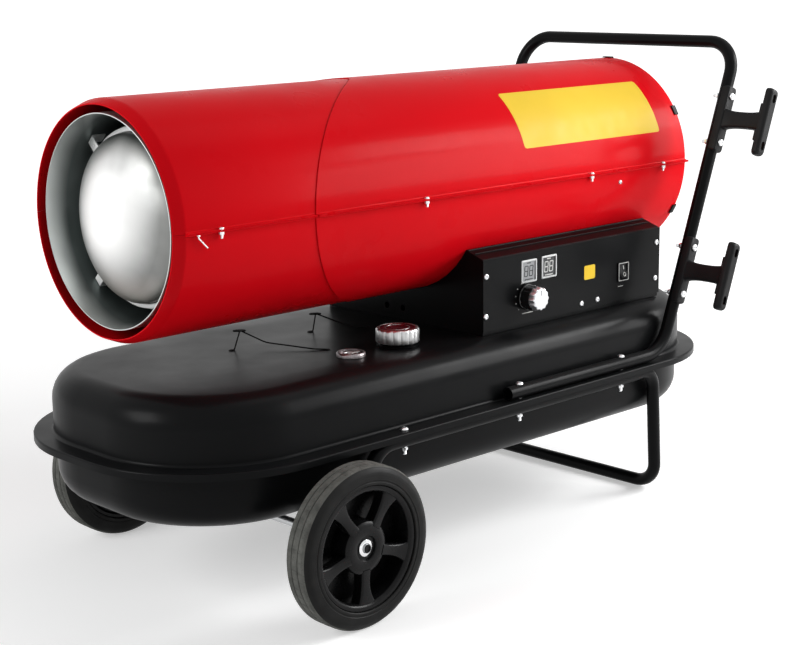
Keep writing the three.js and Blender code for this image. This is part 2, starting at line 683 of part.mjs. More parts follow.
function tyre(side) {
  const inner = WHEEL_OUTER_Y - WHEEL_WIDTH;
  const bore = RIM_DIAMETER / 2 + SEAT_GAP;
  const tread = WHEEL_DIAMETER / 2;
  const shoulder = TYRE_SHOULDER.map(([along, drop]) => [along, tread - drop]);
  const farShoulder = shoulder.map(([along, radius]) => [WHEEL_WIDTH - along, radius]).reverse();
  const section = [[0, bore], ...shoulder, ...farShoulder, [WHEEL_WIDTH, bore], [0, bore]];
  const profile = section.map(([along, radius]) => [side * (inner + along), radius]);
  return solidOf(turned('y', profile, 32).translate(0, 0, AXLE_Z));
}

function wheelRim(side) {
  const inner = WHEEL_OUTER_Y - WHEEL_WIDTH + RIM_INSET;
  const outer = WHEEL_OUTER_Y - RIM_INSET;
  const rim = ring('y', inner, outer, RIM_DIAMETER, RIM_DIAMETER - 2 * RIM_WALL, 32);
  const web = rod('y', inner, inner + WEB_THICKNESS, RIM_DIAMETER - RIM_WALL, 32);
  const hub = rod('y', inner, outer, HUB_DIAMETER, 20);
  const boss = rod('y', SLEEVE_END_Y + SEAT_GAP, inner + 1, HUB_BOSS_DIAMETER, 16);
  const spokes = Array.from({ length: SPOKE_COUNT }, (_, k) => {
    const angle = (k + 0.75) * ((2 * Math.PI) / SPOKE_COUNT);
    const from = HUB_DIAMETER / 2 - RIM_WALL;
    const to = RIM_DIAMETER / 2 - RIM_WALL / 2;
    const half = SPOKE_WIDTH / 2;
    return box(from, to, outer - SPOKE_DEPTH, outer - RIM_INSET, -half, half).rotateY(-angle);
  });
  const bore = rod('y', 0, 2 * WHEEL_OUTER_Y, AXLE_DIAMETER + 2 * RUN_GAP, 16);
  const pocket = rod('y', HUB_FLOOR_Y, 2 * WHEEL_OUTER_Y, HUB_RECESS_DIAMETER, 16);
  const solid = cut(join(rim, web, hub, boss, ...spokes), bore, pocket);
  return solidOf(geometryOf(solid).scale(1, side, 1).translate(0, 0, AXLE_Z));
}

function axleRing(side) {
  const face = HUB_FLOOR_Y + SEAT_GAP;
  const bore = AXLE_DIAMETER + 2 * SEAT_GAP;
  const body = ring('y', face, face + AXLE_RING_THICKNESS, AXLE_RING_DIAMETER, bore, 16);
  return solidOf(body.scale(1, side, 1).translate(0, 0, AXLE_Z));
}

function wheelAxle() {
  const end = WHEEL_OUTER_Y - RIM_INSET;
  return solidOf(rod('y', -end, end, AXLE_DIAMETER, 16).translate(0, 0, AXLE_Z));
}

// ---------------------------------------------------------------- barrel

const SEAM_STEPS = 16;
const BARREL_SEGMENTS = 40;
const CHAMBER_SEGMENTS = 32;
const ROUND_SIDES = 20;          // middle-sized turned pieces and the holes that they fit
const FAR = 1000;                // past every face of a piece that is cut

// The joint line between the front and rear of the barrel, as X over Y: blunt at the middle plane.
function seamX(y) {
  const share = Math.min(Math.abs(y) / REAR_BARREL_RADIUS, 1);
  const blunt = 0.1;
  return SEAM_SIDE_X + SEAM_SWEEP * (Math.hypot(1, blunt) - Math.hypot(share, blunt));
}

// A block that covers everything in front of the joint line (side -1) or behind it (side +1), with
// its edge moved along X from the line.
function seamBlock(side, shift) {
  const reach = REAR_BARREL_RADIUS + 2 * LIP_WIDTH;
  const edge = Array.from({ length: SEAM_STEPS + 1 }, (_, k) => {
    const y = reach * (1 - (2 * k) / SEAM_STEPS);
    return new THREE.Vector2(seamX(y) + shift, y);
  });
  const corners = [new THREE.Vector2(side * FAR, -reach), new THREE.Vector2(side * FAR, reach)];
  return extruded(new THREE.Shape([...edge, ...corners]), FAR).translate(0, 0, BARREL_AXIS_Z - FAR / 2);
}

// What is cut away to keep the upper half (side +1) or the lower half (side -1) of the barrel.
function halfSpace(side) {
  const face = BARREL_AXIS_Z + (side * SEAT_GAP) / 2;
  const [low, high] = side > 0 ? [face - FAR, face] : [face, face + FAR];
  return box(-FAR, FAR, -FAR, FAR, low, high);
}

function sideLips(radius, x1, x2) {
  const z1 = BARREL_AXIS_Z - LIP_THICKNESS - SEAT_GAP / 2;
  const z2 = BARREL_AXIS_Z + LIP_THICKNESS + SEAT_GAP / 2;
  return [
    box(x1, x2, radius - PLATE / 2, radius + LIP_WIDTH, z1, z2),
    box(x1, x2, -radius - LIP_WIDTH, -radius + PLATE / 2, z1, z2),
  ];
}

const onBarrelAxis = (geometry) => geometry.translate(0, 0, BARREL_AXIS_Z);

function barrelFront(side) {
  const shoulder = BARREL_FRONT_X + MOUTH_LENGTH;
  const back = SEAM_SIDE_X + SEAM_SWEEP + LIP_WIDTH;
  const mouth = MOUTH_DIAMETER / 2;
  const profile = [
    [BARREL_FRONT_X, mouth], [BARREL_FRONT_X, mouth + PLATE], [shoulder, BARREL_RADIUS],
    [back, BARREL_RADIUS], [back, BARREL_RADIUS - PLATE], [shoulder, BARREL_RADIUS - PLATE],
  ];
  const tube = onBarrelAxis(turned('x', [...profile, profile[0]], BARREL_SEGMENTS));
  const lips = sideLips(BARREL_RADIUS, shoulder, SEAM_SIDE_X + LIP_WIDTH);
  const shell = cut(join(tube, ...lips), seamBlock(1, -SEAM_GAP / 2));
  const inside = 2 * (REAR_BARREL_RADIUS - PLATE - SEAT_GAP);
  const band = ring('x', SEAM_SIDE_X - FAR, back + TONGUE, inside, inside - 2 * PLATE, BARREL_SEGMENTS);
  const tongue = cut(solidOf(onBarrelAxis(band)), seamBlock(-1, -TONGUE), seamBlock(1, TONGUE));
  return cut(shell.add(tongue), halfSpace(side));
}

const lineHoles = () => [
  post(FUEL_LINE_X, FUEL_LINE_Y, BASE_BOTTOM_Z - PLATE, BARREL_AXIS_Z, LINE_HOLE, 12),
  post(AIR_LINE_FRONT_X, 0, AIR_LINE_Z, BARREL_AXIS_Z, LINE_HOLE, 12),
  post(AIR_LINE_REAR_X, 0, AIR_LINE_Z, BARREL_AXIS_Z, LINE_HOLE, 12),
];

function barrelRear(side) {
  const front = SEAM_SIDE_X - LIP_WIDTH;
  const radius = REAR_BARREL_RADIUS;
  const tube = ring('x', front, BARREL_REAR_X, 2 * radius, 2 * (radius - PLATE), BARREL_SEGMENTS);
  const lips = sideLips(radius, front, BARREL_REAR_X);
  const half = cut(join(onBarrelAxis(tube), ...lips), seamBlock(-1, SEAM_GAP / 2), halfSpace(side));
  return side > 0 ? half : cut(half, ...lineHoles());
}

// ---------------------------------------------------------------- rear guard

// A block that reaches out from the barrel's axis, turned to an angle in degrees from +Y.
function spoke(x1, x2, from, to, width, degrees) {
  const block = box(x1, x2, from, to, -width / 2, width / 2);
  return onBarrelAxis(block.rotateX(THREE.MathUtils.degToRad(degrees)));
}

// The radius at which a flat end of this width still clears a round wall made of flat facets.
const flatReach = (wallRadius, width, facets) =>
  Math.sqrt((wallRadius * Math.cos(Math.PI / facets) - SEAT_GAP) ** 2 - (width / 2) ** 2);

function rearGuard() {
  const inside = flatReach(REAR_BARREL_RADIUS - PLATE, 0, BARREL_SEGMENTS);
  const front = BARREL_REAR_X - CLIP_WIDTH / 2;
  const back = front + GUARD_WIRE;
  const hub = GUARD_HUB_DIAMETER / 2;
  const step = (inside - GUARD_WIRE - hub) / GUARD_RINGS;
  const rings = Array.from({ length: GUARD_RINGS }, (_, k) => {
    const radius = hub + (k + 1) * step;
    return onBarrelAxis(ring('x', front, back, 2 * (radius + GUARD_WIRE), 2 * radius, 18));
  });
  const disc = onBarrelAxis(rod('x', front, back, GUARD_HUB_DIAMETER, 16));
  const angles = Array.from({ length: GUARD_SPOKES }, (_, k) => 30 + (k * 360) / GUARD_SPOKES);
  const spokes = angles.map((angle) =>
    spoke(front, back, hub - GUARD_WIRE, inside - GUARD_WIRE, GUARD_WIRE, angle));
  const rimEnd = BARREL_REAR_X + SEAT_GAP;
  const inner = flatReach(REAR_BARREL_RADIUS - PLATE, CLIP_WIDTH, BARREL_SEGMENTS);
  const outer = REAR_BARREL_RADIUS + SEAT_GAP;
  const clips = angles.flatMap((angle) => [
    spoke(front, rimEnd + PLATE, inner - PLATE, inner, CLIP_WIDTH, angle),
    spoke(rimEnd, rimEnd + PLATE, inner - PLATE, outer + PLATE, CLIP_WIDTH, angle),
    spoke(BARREL_REAR_X - CLIP_WIDTH / 2, rimEnd + PLATE, outer, outer + PLATE, CLIP_WIDTH, angle),
  ]);
  return join(disc, ...rings, ...spokes, ...clips);
}

// ---------------------------------------------------------------- combustion chamber and burner

function combustionChamber() {
  const wall = CHAMBER_RADIUS - CHAMBER_SHEET;
  const back = CHAMBER_REAR_X - CHAMBER_SHEET;
  const hole = BURNER_HOLE_DIAMETER / 2;
  const profile = [
    [CHAMBER_FRONT_X, wall], [CHAMBER_FRONT_X, CHAMBER_RADIUS],
    [CHAMBER_REAR_X - CHAMBER_SHOULDER, CHAMBER_RADIUS],
    [CHAMBER_REAR_X, CHAMBER_RADIUS - CHAMBER_SHOULDER], [CHAMBER_REAR_X, hole], [back, hole],
    [back, wall - CHAMBER_SHOULDER], [back - CHAMBER_SHOULDER, wall],
  ];
  const shell = onBarrelAxis(turned('x', [...profile, profile[0]], CHAMBER_SEGMENTS));
  const reach = flatReach(BARREL_RADIUS - PLATE, STAY_WIDTH, BARREL_SEGMENTS);
  const stays = STAY_X.flatMap((x) => STAY_ANGLES.map((angle) =>
    spoke(x, x + STAY_LENGTH, wall, reach, STAY_WIDTH, angle)));
  const inside = rod('x', CHAMBER_FRONT_X, back - 2 * CHAMBER_SHOULDER, 2 * wall, CHAMBER_SEGMENTS);
  return cut(join(shell, ...stays), onBarrelAxis(inside));
}

const DOME_STEPS = 5;

function flameDeflector() {
  const arc = (radius, height) => Array.from({ length: DOME_STEPS + 1 }, (_, k) => {
    const angle = (k / DOME_STEPS) * (Math.PI / 2);
    return [DOME_RIM_X - height * Math.cos(angle), radius * Math.sin(angle)];
  });
  const outer = arc(DOME_DIAMETER / 2, DOME_HEIGHT);
  const inner = arc(DOME_DIAMETER / 2 - CHAMBER_SHEET, DOME_HEIGHT - CHAMBER_SHEET);
  const end = DOME_RIM_X + DOME_SKIRT;
  const skirt = [[end, DOME_DIAMETER / 2], [end, DOME_DIAMETER / 2 - CHAMBER_SHEET]];
  return solidOf(onBarrelAxis(turned('x', [...outer, ...skirt, ...inner.reverse()], 24)));
}

function deflectorRing() {
  const inside = RING_DIAMETER - 2 * PLATE;
  const band = ring('x', RING_FRONT_X, RING_FRONT_X + RING_LENGTH, RING_DIAMETER, inside, 32);
  const reach = flatReach(CHAMBER_RADIUS - CHAMBER_SHEET, LEG_WIDTH, CHAMBER_SEGMENTS);
  const domeEdge = DOME_DIAMETER / 2 + SEAT_GAP;
  const legs = LEG_ANGLES.flatMap((angle) => [
    spoke(RING_FRONT_X - PLATE, RING_FRONT_X + PLATE / 2, domeEdge, reach, LEG_WIDTH, angle),
    spoke(RING_FRONT_X - PLATE, RING_FRONT_X + LEG_LENGTH, reach - PLATE, reach, LEG_WIDTH, angle),
  ]);
  return join(onBarrelAxis(band), ...legs);
}

function burnerHead() {
  const front = CHAMBER_REAR_X - CHAMBER_SHEET;
  const seat = CHAMBER_REAR_X + SEAT_GAP;
  const back = seat + BURNER_PLATE;
  const collar = COLLAR_DIAMETER / 2;
  const nozzle = NOZZLE_DIAMETER / 2 + SEAT_GAP;
  const plug = BURNER_HOLE_DIAMETER / 2 - SEAT_GAP;
  const profile = [
    [front, nozzle], [front, plug], [seat, plug], [seat, plug + BURNER_PLATE], [back, plug + BURNER_PLATE],
    [back, collar], [back + COLLAR_LENGTH, collar], [back + COLLAR_LENGTH, collar - PLATE],
    [back, collar - PLATE], [back, nozzle],
  ];
  const slots = Array.from({ length: SWIRL_SLOTS }, (_, k) =>
    spoke(front - 1, back + 1, collar + PLATE, plug - PLATE, BURNER_PLATE, (k * 360) / SWIRL_SLOTS));
  const hole = (y, z, diameter) =>
    onBarrelAxis(rod('x', front - 1, back + 1, diameter + 2 * SEAT_GAP, 12).translate(0, y, z));
  return cut(
    solidOf(onBarrelAxis(turned('x', [...profile, profile[0]], 24))),
    ...slots,
    hole(0, IGNITER_OFFSET, IGNITER_DIAMETER),
    hole(PHOTOCELL_OFFSET, 0, PHOTOCELL_DIAMETER),
  );
}

function fuelNozzle() {
  const back = NOZZLE_FRONT_X + NOZZLE_LENGTH;
  const radius = NOZZLE_DIAMETER / 2;
  const profile = [
    [NOZZLE_FRONT_X, 0], [NOZZLE_FRONT_X, radius / 3], [NOZZLE_FRONT_X + radius / 2, radius],
    [back, radius], [back, 0],
  ];
  return solidOf(onBarrelAxis(turned('x', profile, 12)));
}

function sparkIgniter() {
  const front = CHAMBER_REAR_X - IGNITER_DIAMETER;
  const back = CHAMBER_REAR_X + COLLAR_LENGTH + IGNITER_DIAMETER;
  const profile = [
    [NOZZLE_FRONT_X - NOZZLE_DIAMETER / 2, 0], [NOZZLE_FRONT_X - NOZZLE_DIAMETER / 2, PLATE / 2],
    [front, PLATE / 2], [front, IGNITER_DIAMETER / 2], [back, IGNITER_DIAMETER / 2], [back, 0],
  ];
  return solidOf(onBarrelAxis(turned('x', profile, 12).translate(0, 0, IGNITER_OFFSET)));
}

function photocell() {
  const front = CHAMBER_REAR_X - CHAMBER_SHEET;
  const back = CHAMBER_REAR_X + COLLAR_LENGTH + IGNITER_DIAMETER;
  const radius = PHOTOCELL_DIAMETER / 2;
  const profile = [
    [front + radius, 0], [front + radius, radius - PLATE], [front, radius - PLATE], [front, radius],
    [back, radius], [back, 0],
  ];
  return solidOf(onBarrelAxis(turned('x', profile, 12).translate(0, PHOTOCELL_OFFSET, 0)));
}

// ---------------------------------------------------------------- fan, motor and air pump

const ROTOR_CORE_DIAMETER = 56;

function fan() {
  const hub = ring('x', FAN_X, FAN_X + FAN_HUB_LENGTH, FAN_HUB_DIAMETER, SHAFT_DIAMETER + 2 * SEAT_GAP, 20);
  const pitch = THREE.MathUtils.degToRad(FAN_PITCH);
  const chord = (FAN_HUB_LENGTH - PLATE) / Math.sin(pitch);
  const tip = Math.sqrt((FAN_DIAMETER / 2) ** 2 - ((chord / 2) * Math.cos(pitch)) ** 2) - PLATE;
  const blades = Array.from({ length: FAN_BLADES }, (_, k) => {
    const blade = box(-PLATE / 2, PLATE / 2, -chord / 2, chord / 2, FAN_HUB_DIAMETER / 2 - 2 * PLATE, tip);
    const placed = blade.rotateZ(-pitch).translate(FAN_X + FAN_HUB_LENGTH / 2, 0, 0);
    return placed.rotateX((k * 2 * Math.PI) / FAN_BLADES);
  });
  const bore = rod('x', FAN_X - 1, FAN_X + FAN_HUB_LENGTH + 1, SHAFT_DIAMETER + 2 * SEAT_GAP, 12);
  return solidOf(onBarrelAxis(geometryOf(cut(join(hub, ...blades), bore))));
}

function motorShaft() {
  const radius = SHAFT_DIAMETER / 2;
  const core = [MOTOR_FRONT_X + MOTOR_LENGTH * 0.2, MOTOR_FRONT_X + MOTOR_LENGTH * 0.8];
  const end = PUMP_X + PUMP_BODY_LENGTH - PLATE;
  const profile = [
    [FAN_X - PLATE, 0], [FAN_X - PLATE, radius], [core[0], radius], [core[0], ROTOR_CORE_DIAMETER / 2],
    [core[1], ROTOR_CORE_DIAMETER / 2], [core[1], radius], [end, radius], [end, 0],
  ];
  return solidOf(onBarrelAxis(turned('x', profile, 12)));
}

function motorHousing() {
  const back = MOTOR_FRONT_X + MOTOR_LENGTH;
  const radius = MOTOR_DIAMETER / 2;
  const bore = SHAFT_DIAMETER / 2 + RUN_GAP;
  const cavity = ROTOR_CORE_DIAMETER / 2 + PLATE;
  const endWall = MOTOR_LENGTH * 0.12;
  const profile = [
    [MOTOR_FRONT_X, bore], [MOTOR_FRONT_X, radius - endWall], [MOTOR_FRONT_X + endWall, radius],
    [back, radius], [back, bore], [back - endWall, bore],
    [back - endWall, cavity], [MOTOR_FRONT_X + endWall, cavity], [MOTOR_FRONT_X + endWall, bore],
  ];
  return solidOf(onBarrelAxis(turned('x', [...profile, profile[0]], 24)));
}

function motorBracket() {
  const inner = MOTOR_DIAMETER + 2 * SEAT_GAP;
  const back = BRACKET_X + BRACKET_LENGTH;
  const band = ring('x', BRACKET_X, back, inner + 2 * BRACKET_ARM, inner, 24);
  const reach = flatReach(REAR_BARREL_RADIUS - PLATE, BRACKET_ARM, BARREL_SEGMENTS);
  const arms = Array.from({ length: BRACKET_ARMS }, (_, k) =>
    spoke(BRACKET_X, back, inner / 2 + PLATE, reach, BRACKET_ARM, 90 + (k * 360) / BRACKET_ARMS));
  return join(onBarrelAxis(band), ...arms);
}

function pumpBody() {
  const body = ring('x', PUMP_X, PUMP_X + PUMP_BODY_LENGTH, PUMP_DIAMETER, PUMP_BORE, ROUND_SIDES);
  return solidOf(onBarrelAxis(body));
}

function pumpRotor() {
  const front = PUMP_X + SEAT_GAP;
  const back = PUMP_X + PUMP_BODY_LENGTH - SEAT_GAP;
  const reach = flatReach(PUMP_BORE / 2, PLATE, ROUND_SIDES);
  const vanes = [0, 90, 180, 270].map((angle) =>
    spoke(front, back, PUMP_ROTOR_DIAMETER / 2 - PLATE, reach, PLATE, angle));
  const body = onBarrelAxis(rod('x', front, back, PUMP_ROTOR_DIAMETER, 16));
  const bore = onBarrelAxis(rod('x', front - 1, back + 1, SHAFT_DIAMETER + 2 * SEAT_GAP, 12));
  return cut(join(body, ...vanes), bore);
}

function pumpCover() {
  const front = PUMP_X + PUMP_BODY_LENGTH + SEAT_GAP;
  const plate = front + PUMP_COVER_LENGTH / 3;
  const back = front + PUMP_COVER_LENGTH;
  const profile = [
    [front, 0], [front, PUMP_DIAMETER / 2], [plate, PUMP_DIAMETER / 2], [plate, PUMP_BORE / 2],
    [back - PLATE, PUMP_BORE / 2], [back, PUMP_BORE / 2 - PLATE], [back, 0],
  ];
  return solidOf(onBarrelAxis(turned('x', profile, 24)));
}

// ---------------------------------------------------------------- base and controls

// The base's section, moved in by an inset. Its top runs straight over the room for the barrel.
function baseSection(inset) {
  const half = BASE_HALF_WIDTH - inset;
  const edgeZ = SADDLE_EDGE_Z - inset;
  const edgeY = Math.sqrt((SADDLE_RADIUS + inset) ** 2 - (BARREL_AXIS_Z - edgeZ) ** 2);
  const sideZ = BASE_SIDE_TOP_Z - inset;
  const bottom = BASE_BOTTOM_Z + inset;
  const near = [[-edgeY, edgeZ], [-half, sideZ], [-half, bottom]];
  const far = near.map(([y, z]) => [-y, z]).reverse();
  return new THREE.Shape([...near, ...far].map(([y, z]) => new THREE.Vector2(y, z)));
}

function baseHousing() {
  const saddle = (inset) =>
    onBarrelAxis(rod('x', BASE_FRONT_X - 1, BASE_REAR_X + 1, 2 * (SADDLE_RADIUS + inset), BARREL_SEGMENTS));
  const shell = cut(solidOf(alongX(baseSection(0), BASE_FRONT_X, BASE_REAR_X)), saddle(0));
  const roomBlock = alongX(baseSection(PLATE), BASE_FRONT_X + PLATE, BASE_REAR_X - PLATE);
  const room = cut(solidOf(roomBlock), saddle(PLATE));
  const [left, right] = [BASE_FRONT_X + PANEL_FLANGE, BASE_REAR_X - PANEL_FLANGE];
  const window = box(left, right, -BASE_HALF_WIDTH - 1, -BASE_HALF_WIDTH + PLATE + 1,
    PANEL_BOTTOM_Z + PANEL_FLANGE, BASE_SIDE_TOP_Z - PANEL_FLANGE);
  const endHoles = END_HOLES.map(([y, z]) =>
    rod('x', BASE_FRONT_X - 1, BASE_FRONT_X + PLATE + 1, END_HOLE_DIAMETER, 12).translate(0, y, z));
  const glandHole = rod('x', BASE_REAR_X - PLATE - 1, BASE_REAR_X + 1, GLAND_NECK + 2 * SEAT_GAP, 16)
    .translate(0, GLAND_Y, GLAND_Z);
  return cut(shell.subtract(room), window, ...endHoles, glandHole, ...lineHoles());
}

const throughPanel = (x, z, diameter, sides) =>
  rod('y', PANEL_FACE_Y - 1, PANEL_BACK_Y + 1, diameter, sides).translate(x, 0, z);

// A block round a place on the panel, between two depths.
function panelBlock(x, z, width, height, y1, y2) {
  return box(x - width / 2, x + width / 2, y1, y2, z - height / 2, z + height / 2);
}

function controlPanel() {
  const plate = box(BASE_FRONT_X - PANEL_MARGIN, BASE_REAR_X + PANEL_MARGIN, PANEL_FACE_Y, PANEL_BACK_Y,
    PANEL_BOTTOM_Z, BASE_SIDE_TOP_Z - PANEL_MARGIN);
  const through = (x, z, width, height) =>
    panelBlock(x, z, width + 2 * SEAT_GAP, height + 2 * SEAT_GAP, PANEL_FACE_Y - 1, PANEL_BACK_Y + 1);
  return cut(
    solidOf(plate),
    ...DISPLAY_CENTRES.map(([x, z]) => through(x, z, DISPLAY_WIDTH, DISPLAY_HEIGHT)),
    ...PANEL_SCREWS.map(([x, z]) => throughPanel(x, z, PANEL_SCREW_DIAMETER, 8)),
    throughPanel(KNOB_X, KNOB_Z, KNOB_SHAFT_DIAMETER + 2 * RUN_GAP, 12),
    through(SWITCH_X, SWITCH_Z, SWITCH_WIDTH - 2 * SWITCH_BEZEL, SWITCH_HEIGHT - 2 * SWITCH_BEZEL),
  );
}

function displayUnit() {
  const behind = PANEL_BACK_Y + SEAT_GAP;
  const windows = DISPLAY_CENTRES.map(([x, z]) =>
    panelBlock(x, z, DISPLAY_WIDTH, DISPLAY_HEIGHT, PANEL_FACE_Y - DISPLAY_PROUD, behind + 1));
  const [width, height] = [DISPLAY_WIDTH + 2 * DISPLAY_RIM, DISPLAY_HEIGHT + 2 * DISPLAY_RIM];
  const back = behind + DISPLAY_DEPTH;
  const backs = DISPLAY_CENTRES.map(([x, z]) => panelBlock(x, z, width, height, behind, back));
  const [[x1, z1], [x2]] = DISPLAY_CENTRES;
  const bridge = box(x1, x2, behind, back, z1 - DISPLAY_HEIGHT / 4, z1 + DISPLAY_HEIGHT / 4);
  return join(...windows, ...backs, bridge);
}

function controlBoard() {
  const [x1, x2, z1, z2] = BOARD_SPAN;
  const board = box(x1, x2, BOARD_Y, BOARD_Y + BOARD_THICKNESS, z1, z2);
  const posts = [x1 + BOARD_POST_INSET, x2 - BOARD_POST_INSET].flatMap((x) =>
    [z1 + BOARD_POST_INSET, z2 - BOARD_POST_INSET].map((z) =>
      rod('y', PANEL_BACK_Y + SEAT_GAP, BOARD_Y + 1, BOARD_POST_DIAMETER, 8).translate(x, 0, z)));
  const controlFront = BOARD_Y - CONTROL_DEPTH;
  const control = panelBlock(KNOB_X, KNOB_Z, CONTROL_SIZE, CONTROL_SIZE, controlFront, BOARD_Y + 1);
  const bore = rod('y', controlFront - 1, BOARD_Y - 1, KNOB_SHAFT_DIAMETER + 2 * RUN_GAP, 12);
  return cut(join(board, ...posts, control), bore.translate(KNOB_X, 0, KNOB_Z));
}

// A round outline with shallow flutes.
function flutedOutline(radius, flutes, depth) {
  const points = Array.from({ length: 2 * flutes }, (_, k) => {
    const reach = k % 2 ? radius - depth : radius;
    const angle = (k * Math.PI) / flutes;
    return new THREE.Vector2(reach * Math.cos(angle), reach * Math.sin(angle));
  });
  return new THREE.Shape(points);
}

function thermostatKnob() {
  const seat = PANEL_FACE_Y - RUN_GAP;
  const skirtEnd = seat - KNOB_SKIRT;
  const radius = KNOB_DIAMETER / 2;
  const skirt = extruded(flutedOutline(radius, KNOB_FLUTES, KNOB_FLUTE_DEPTH), KNOB_SKIRT)
    .rotateX(Math.PI / 2).translate(0, seat, 0);
  const grip = radius - 2 * KNOB_FLUTE_DEPTH;
  const body = turned('y', [
    [skirtEnd + 1, 0], [skirtEnd + 1, grip], [seat - KNOB_LENGTH + PLATE, grip - KNOB_TAPER],
    [seat - KNOB_LENGTH, grip - KNOB_TAPER - PLATE], [seat - KNOB_LENGTH, 0],
  ], 24);
  const shaft = rod('y', seat - 1, BOARD_Y - PLATE, KNOB_SHAFT_DIAMETER, 12);
  return solidOf(geometryOf(join(skirt, body, shaft)).translate(KNOB_X, 0, KNOB_Z));
}

const ROCKER_SWING = THREE.MathUtils.degToRad(ROCKER_TILT);
const ROCKER_SPAN = ROCKER_HEIGHT * Math.cos(ROCKER_SWING) + 2 * ROCKER_FRONT * Math.sin(ROCKER_SWING);
const ROCKER_ROOM = ROCKER_SPAN + 2 * RUN_GAP;
const PIVOT_Y = PANEL_FACE_Y + PIVOT_DEPTH;

function switchHousing() {
  const seat = PANEL_FACE_Y - SEAT_GAP;
  const face = seat - SWITCH_BEZEL;
  const block = (width, height, y1, y2) => panelBlock(SWITCH_X, SWITCH_Z, width, height, y1, y2);
  const bezel = block(SWITCH_WIDTH, SWITCH_HEIGHT, face, seat);
  const [width, height] = [SWITCH_WIDTH - 2 * SWITCH_BEZEL, SWITCH_HEIGHT - 2 * SWITCH_BEZEL];
  const body = block(width, height, seat - 1, PANEL_FACE_Y + SWITCH_DEPTH);
  const room = block(ROCKER_WIDTH + 2 * RUN_GAP, ROCKER_ROOM, face - 1, PIVOT_Y + ROCKER_HEIGHT / 2);
  const pinLength = ROCKER_WIDTH / 2 + ROCKER_PIN_REACH + RUN_GAP;
  const pinHole = rod('x', -pinLength, pinLength, ROCKER_PIN_DIAMETER + 2 * RUN_GAP, 12);
  return cut(join(bezel, body), room, pinHole.translate(SWITCH_X, PIVOT_Y, SWITCH_Z));
}

function powerRocker() {
  const half = ROCKER_HEIGHT / 2;
  const corners = [
    [-ROCKER_FRONT, half], [-ROCKER_FRONT + ROCKER_TROUGH, 0], [-ROCKER_FRONT, -half],
    [ROCKER_BACK, -half], [ROCKER_BACK, half],
  ];
  const section = new THREE.Shape(corners.map(([y, z]) => new THREE.Vector2(y, z)));
  const body = alongX(section, -ROCKER_WIDTH / 2, ROCKER_WIDTH / 2);
  const reach = ROCKER_WIDTH / 2 + ROCKER_PIN_REACH;
  const rocker = geometryOf(join(body, rod('x', -reach, reach, ROCKER_PIN_DIAMETER, 12)));
  return solidOf(rocker.rotateX(-ROCKER_SWING).translate(SWITCH_X, PIVOT_Y, SWITCH_Z));
}

function ignitionTransformer() {
  const [length, width, height] = TRANSFORMER_SIZE;
  const floor = BASE_BOTTOM_Z + PLATE + SEAT_GAP;
  const body = box(TRANSFORMER_X - length / 2, TRANSFORMER_X + length / 2, TRANSFORMER_Y - width / 2,
    TRANSFORMER_Y + width / 2, floor, floor + height);
  const [from, to] = [floor + height - 1, floor + height + TERMINAL_HEIGHT];
  const terminals = [-TERMINAL_SPACING / 2, TERMINAL_SPACING / 2].map((shift) =>
    post(TRANSFORMER_X + shift, TRANSFORMER_Y - TERMINAL_OFFSET, from, to, TERMINAL_DIAMETER, 12));
  return join(body, ...terminals);
}

function cableGland() {
  const seat = BASE_REAR_X + SEAT_GAP;
  const bore = GLAND_BORE / 2;
  const radius = GLAND_DIAMETER / 2;
  const neckEnd = BASE_REAR_X - GLAND_LENGTH / 2;
  const end = seat + GLAND_LENGTH;
  const profile = [
    [neckEnd, bore], [neckEnd, GLAND_NECK / 2], [seat, GLAND_NECK / 2], [seat, radius],
    [end - GLAND_LENGTH / 3, radius], [end, bore + PLATE], [end, bore],
  ];
  return solidOf(turned('x', [...profile, profile[0]], 12).translate(0, GLAND_Y, GLAND_Z));
}

// ---------------------------------------------------------------- filler, cap and gauge

const NECK_TOP_Z = DECK_Z + NECK_HEIGHT;
const NECK_RADIUS = NECK_DIAMETER / 2;
const GASKET_BOTTOM_Z = NECK_TOP_Z + SEAT_GAP + STRAINER_WALL + SEAT_GAP;
const atFiller = (geometry) => geometry.translate(FILLER_X, FILLER_Y, 0);
const atGauge = (geometry) => geometry.translate(GAUGE_X, GAUGE_Y, 0);

function fillerNeck() {
  const seat = DECK_Z + SEAT_GAP;
  const inner = NECK_RADIUS - NECK_WALL;
  const bottom = DECK_Z - NECK_DEPTH;
  const profile = [
    [bottom, inner], [bottom, NECK_RADIUS], [seat, NECK_RADIUS], [seat, NECK_FLANGE_DIAMETER / 2],
    [seat + NECK_FLANGE_THICKNESS, NECK_FLANGE_DIAMETER / 2], [seat + NECK_FLANGE_THICKNESS, NECK_RADIUS],
    [NECK_TOP_Z, NECK_RADIUS], [NECK_TOP_Z, inner],
  ];
  return solidOf(atFiller(turned('z', [...profile, profile[0]], ROUND_SIDES)));
}

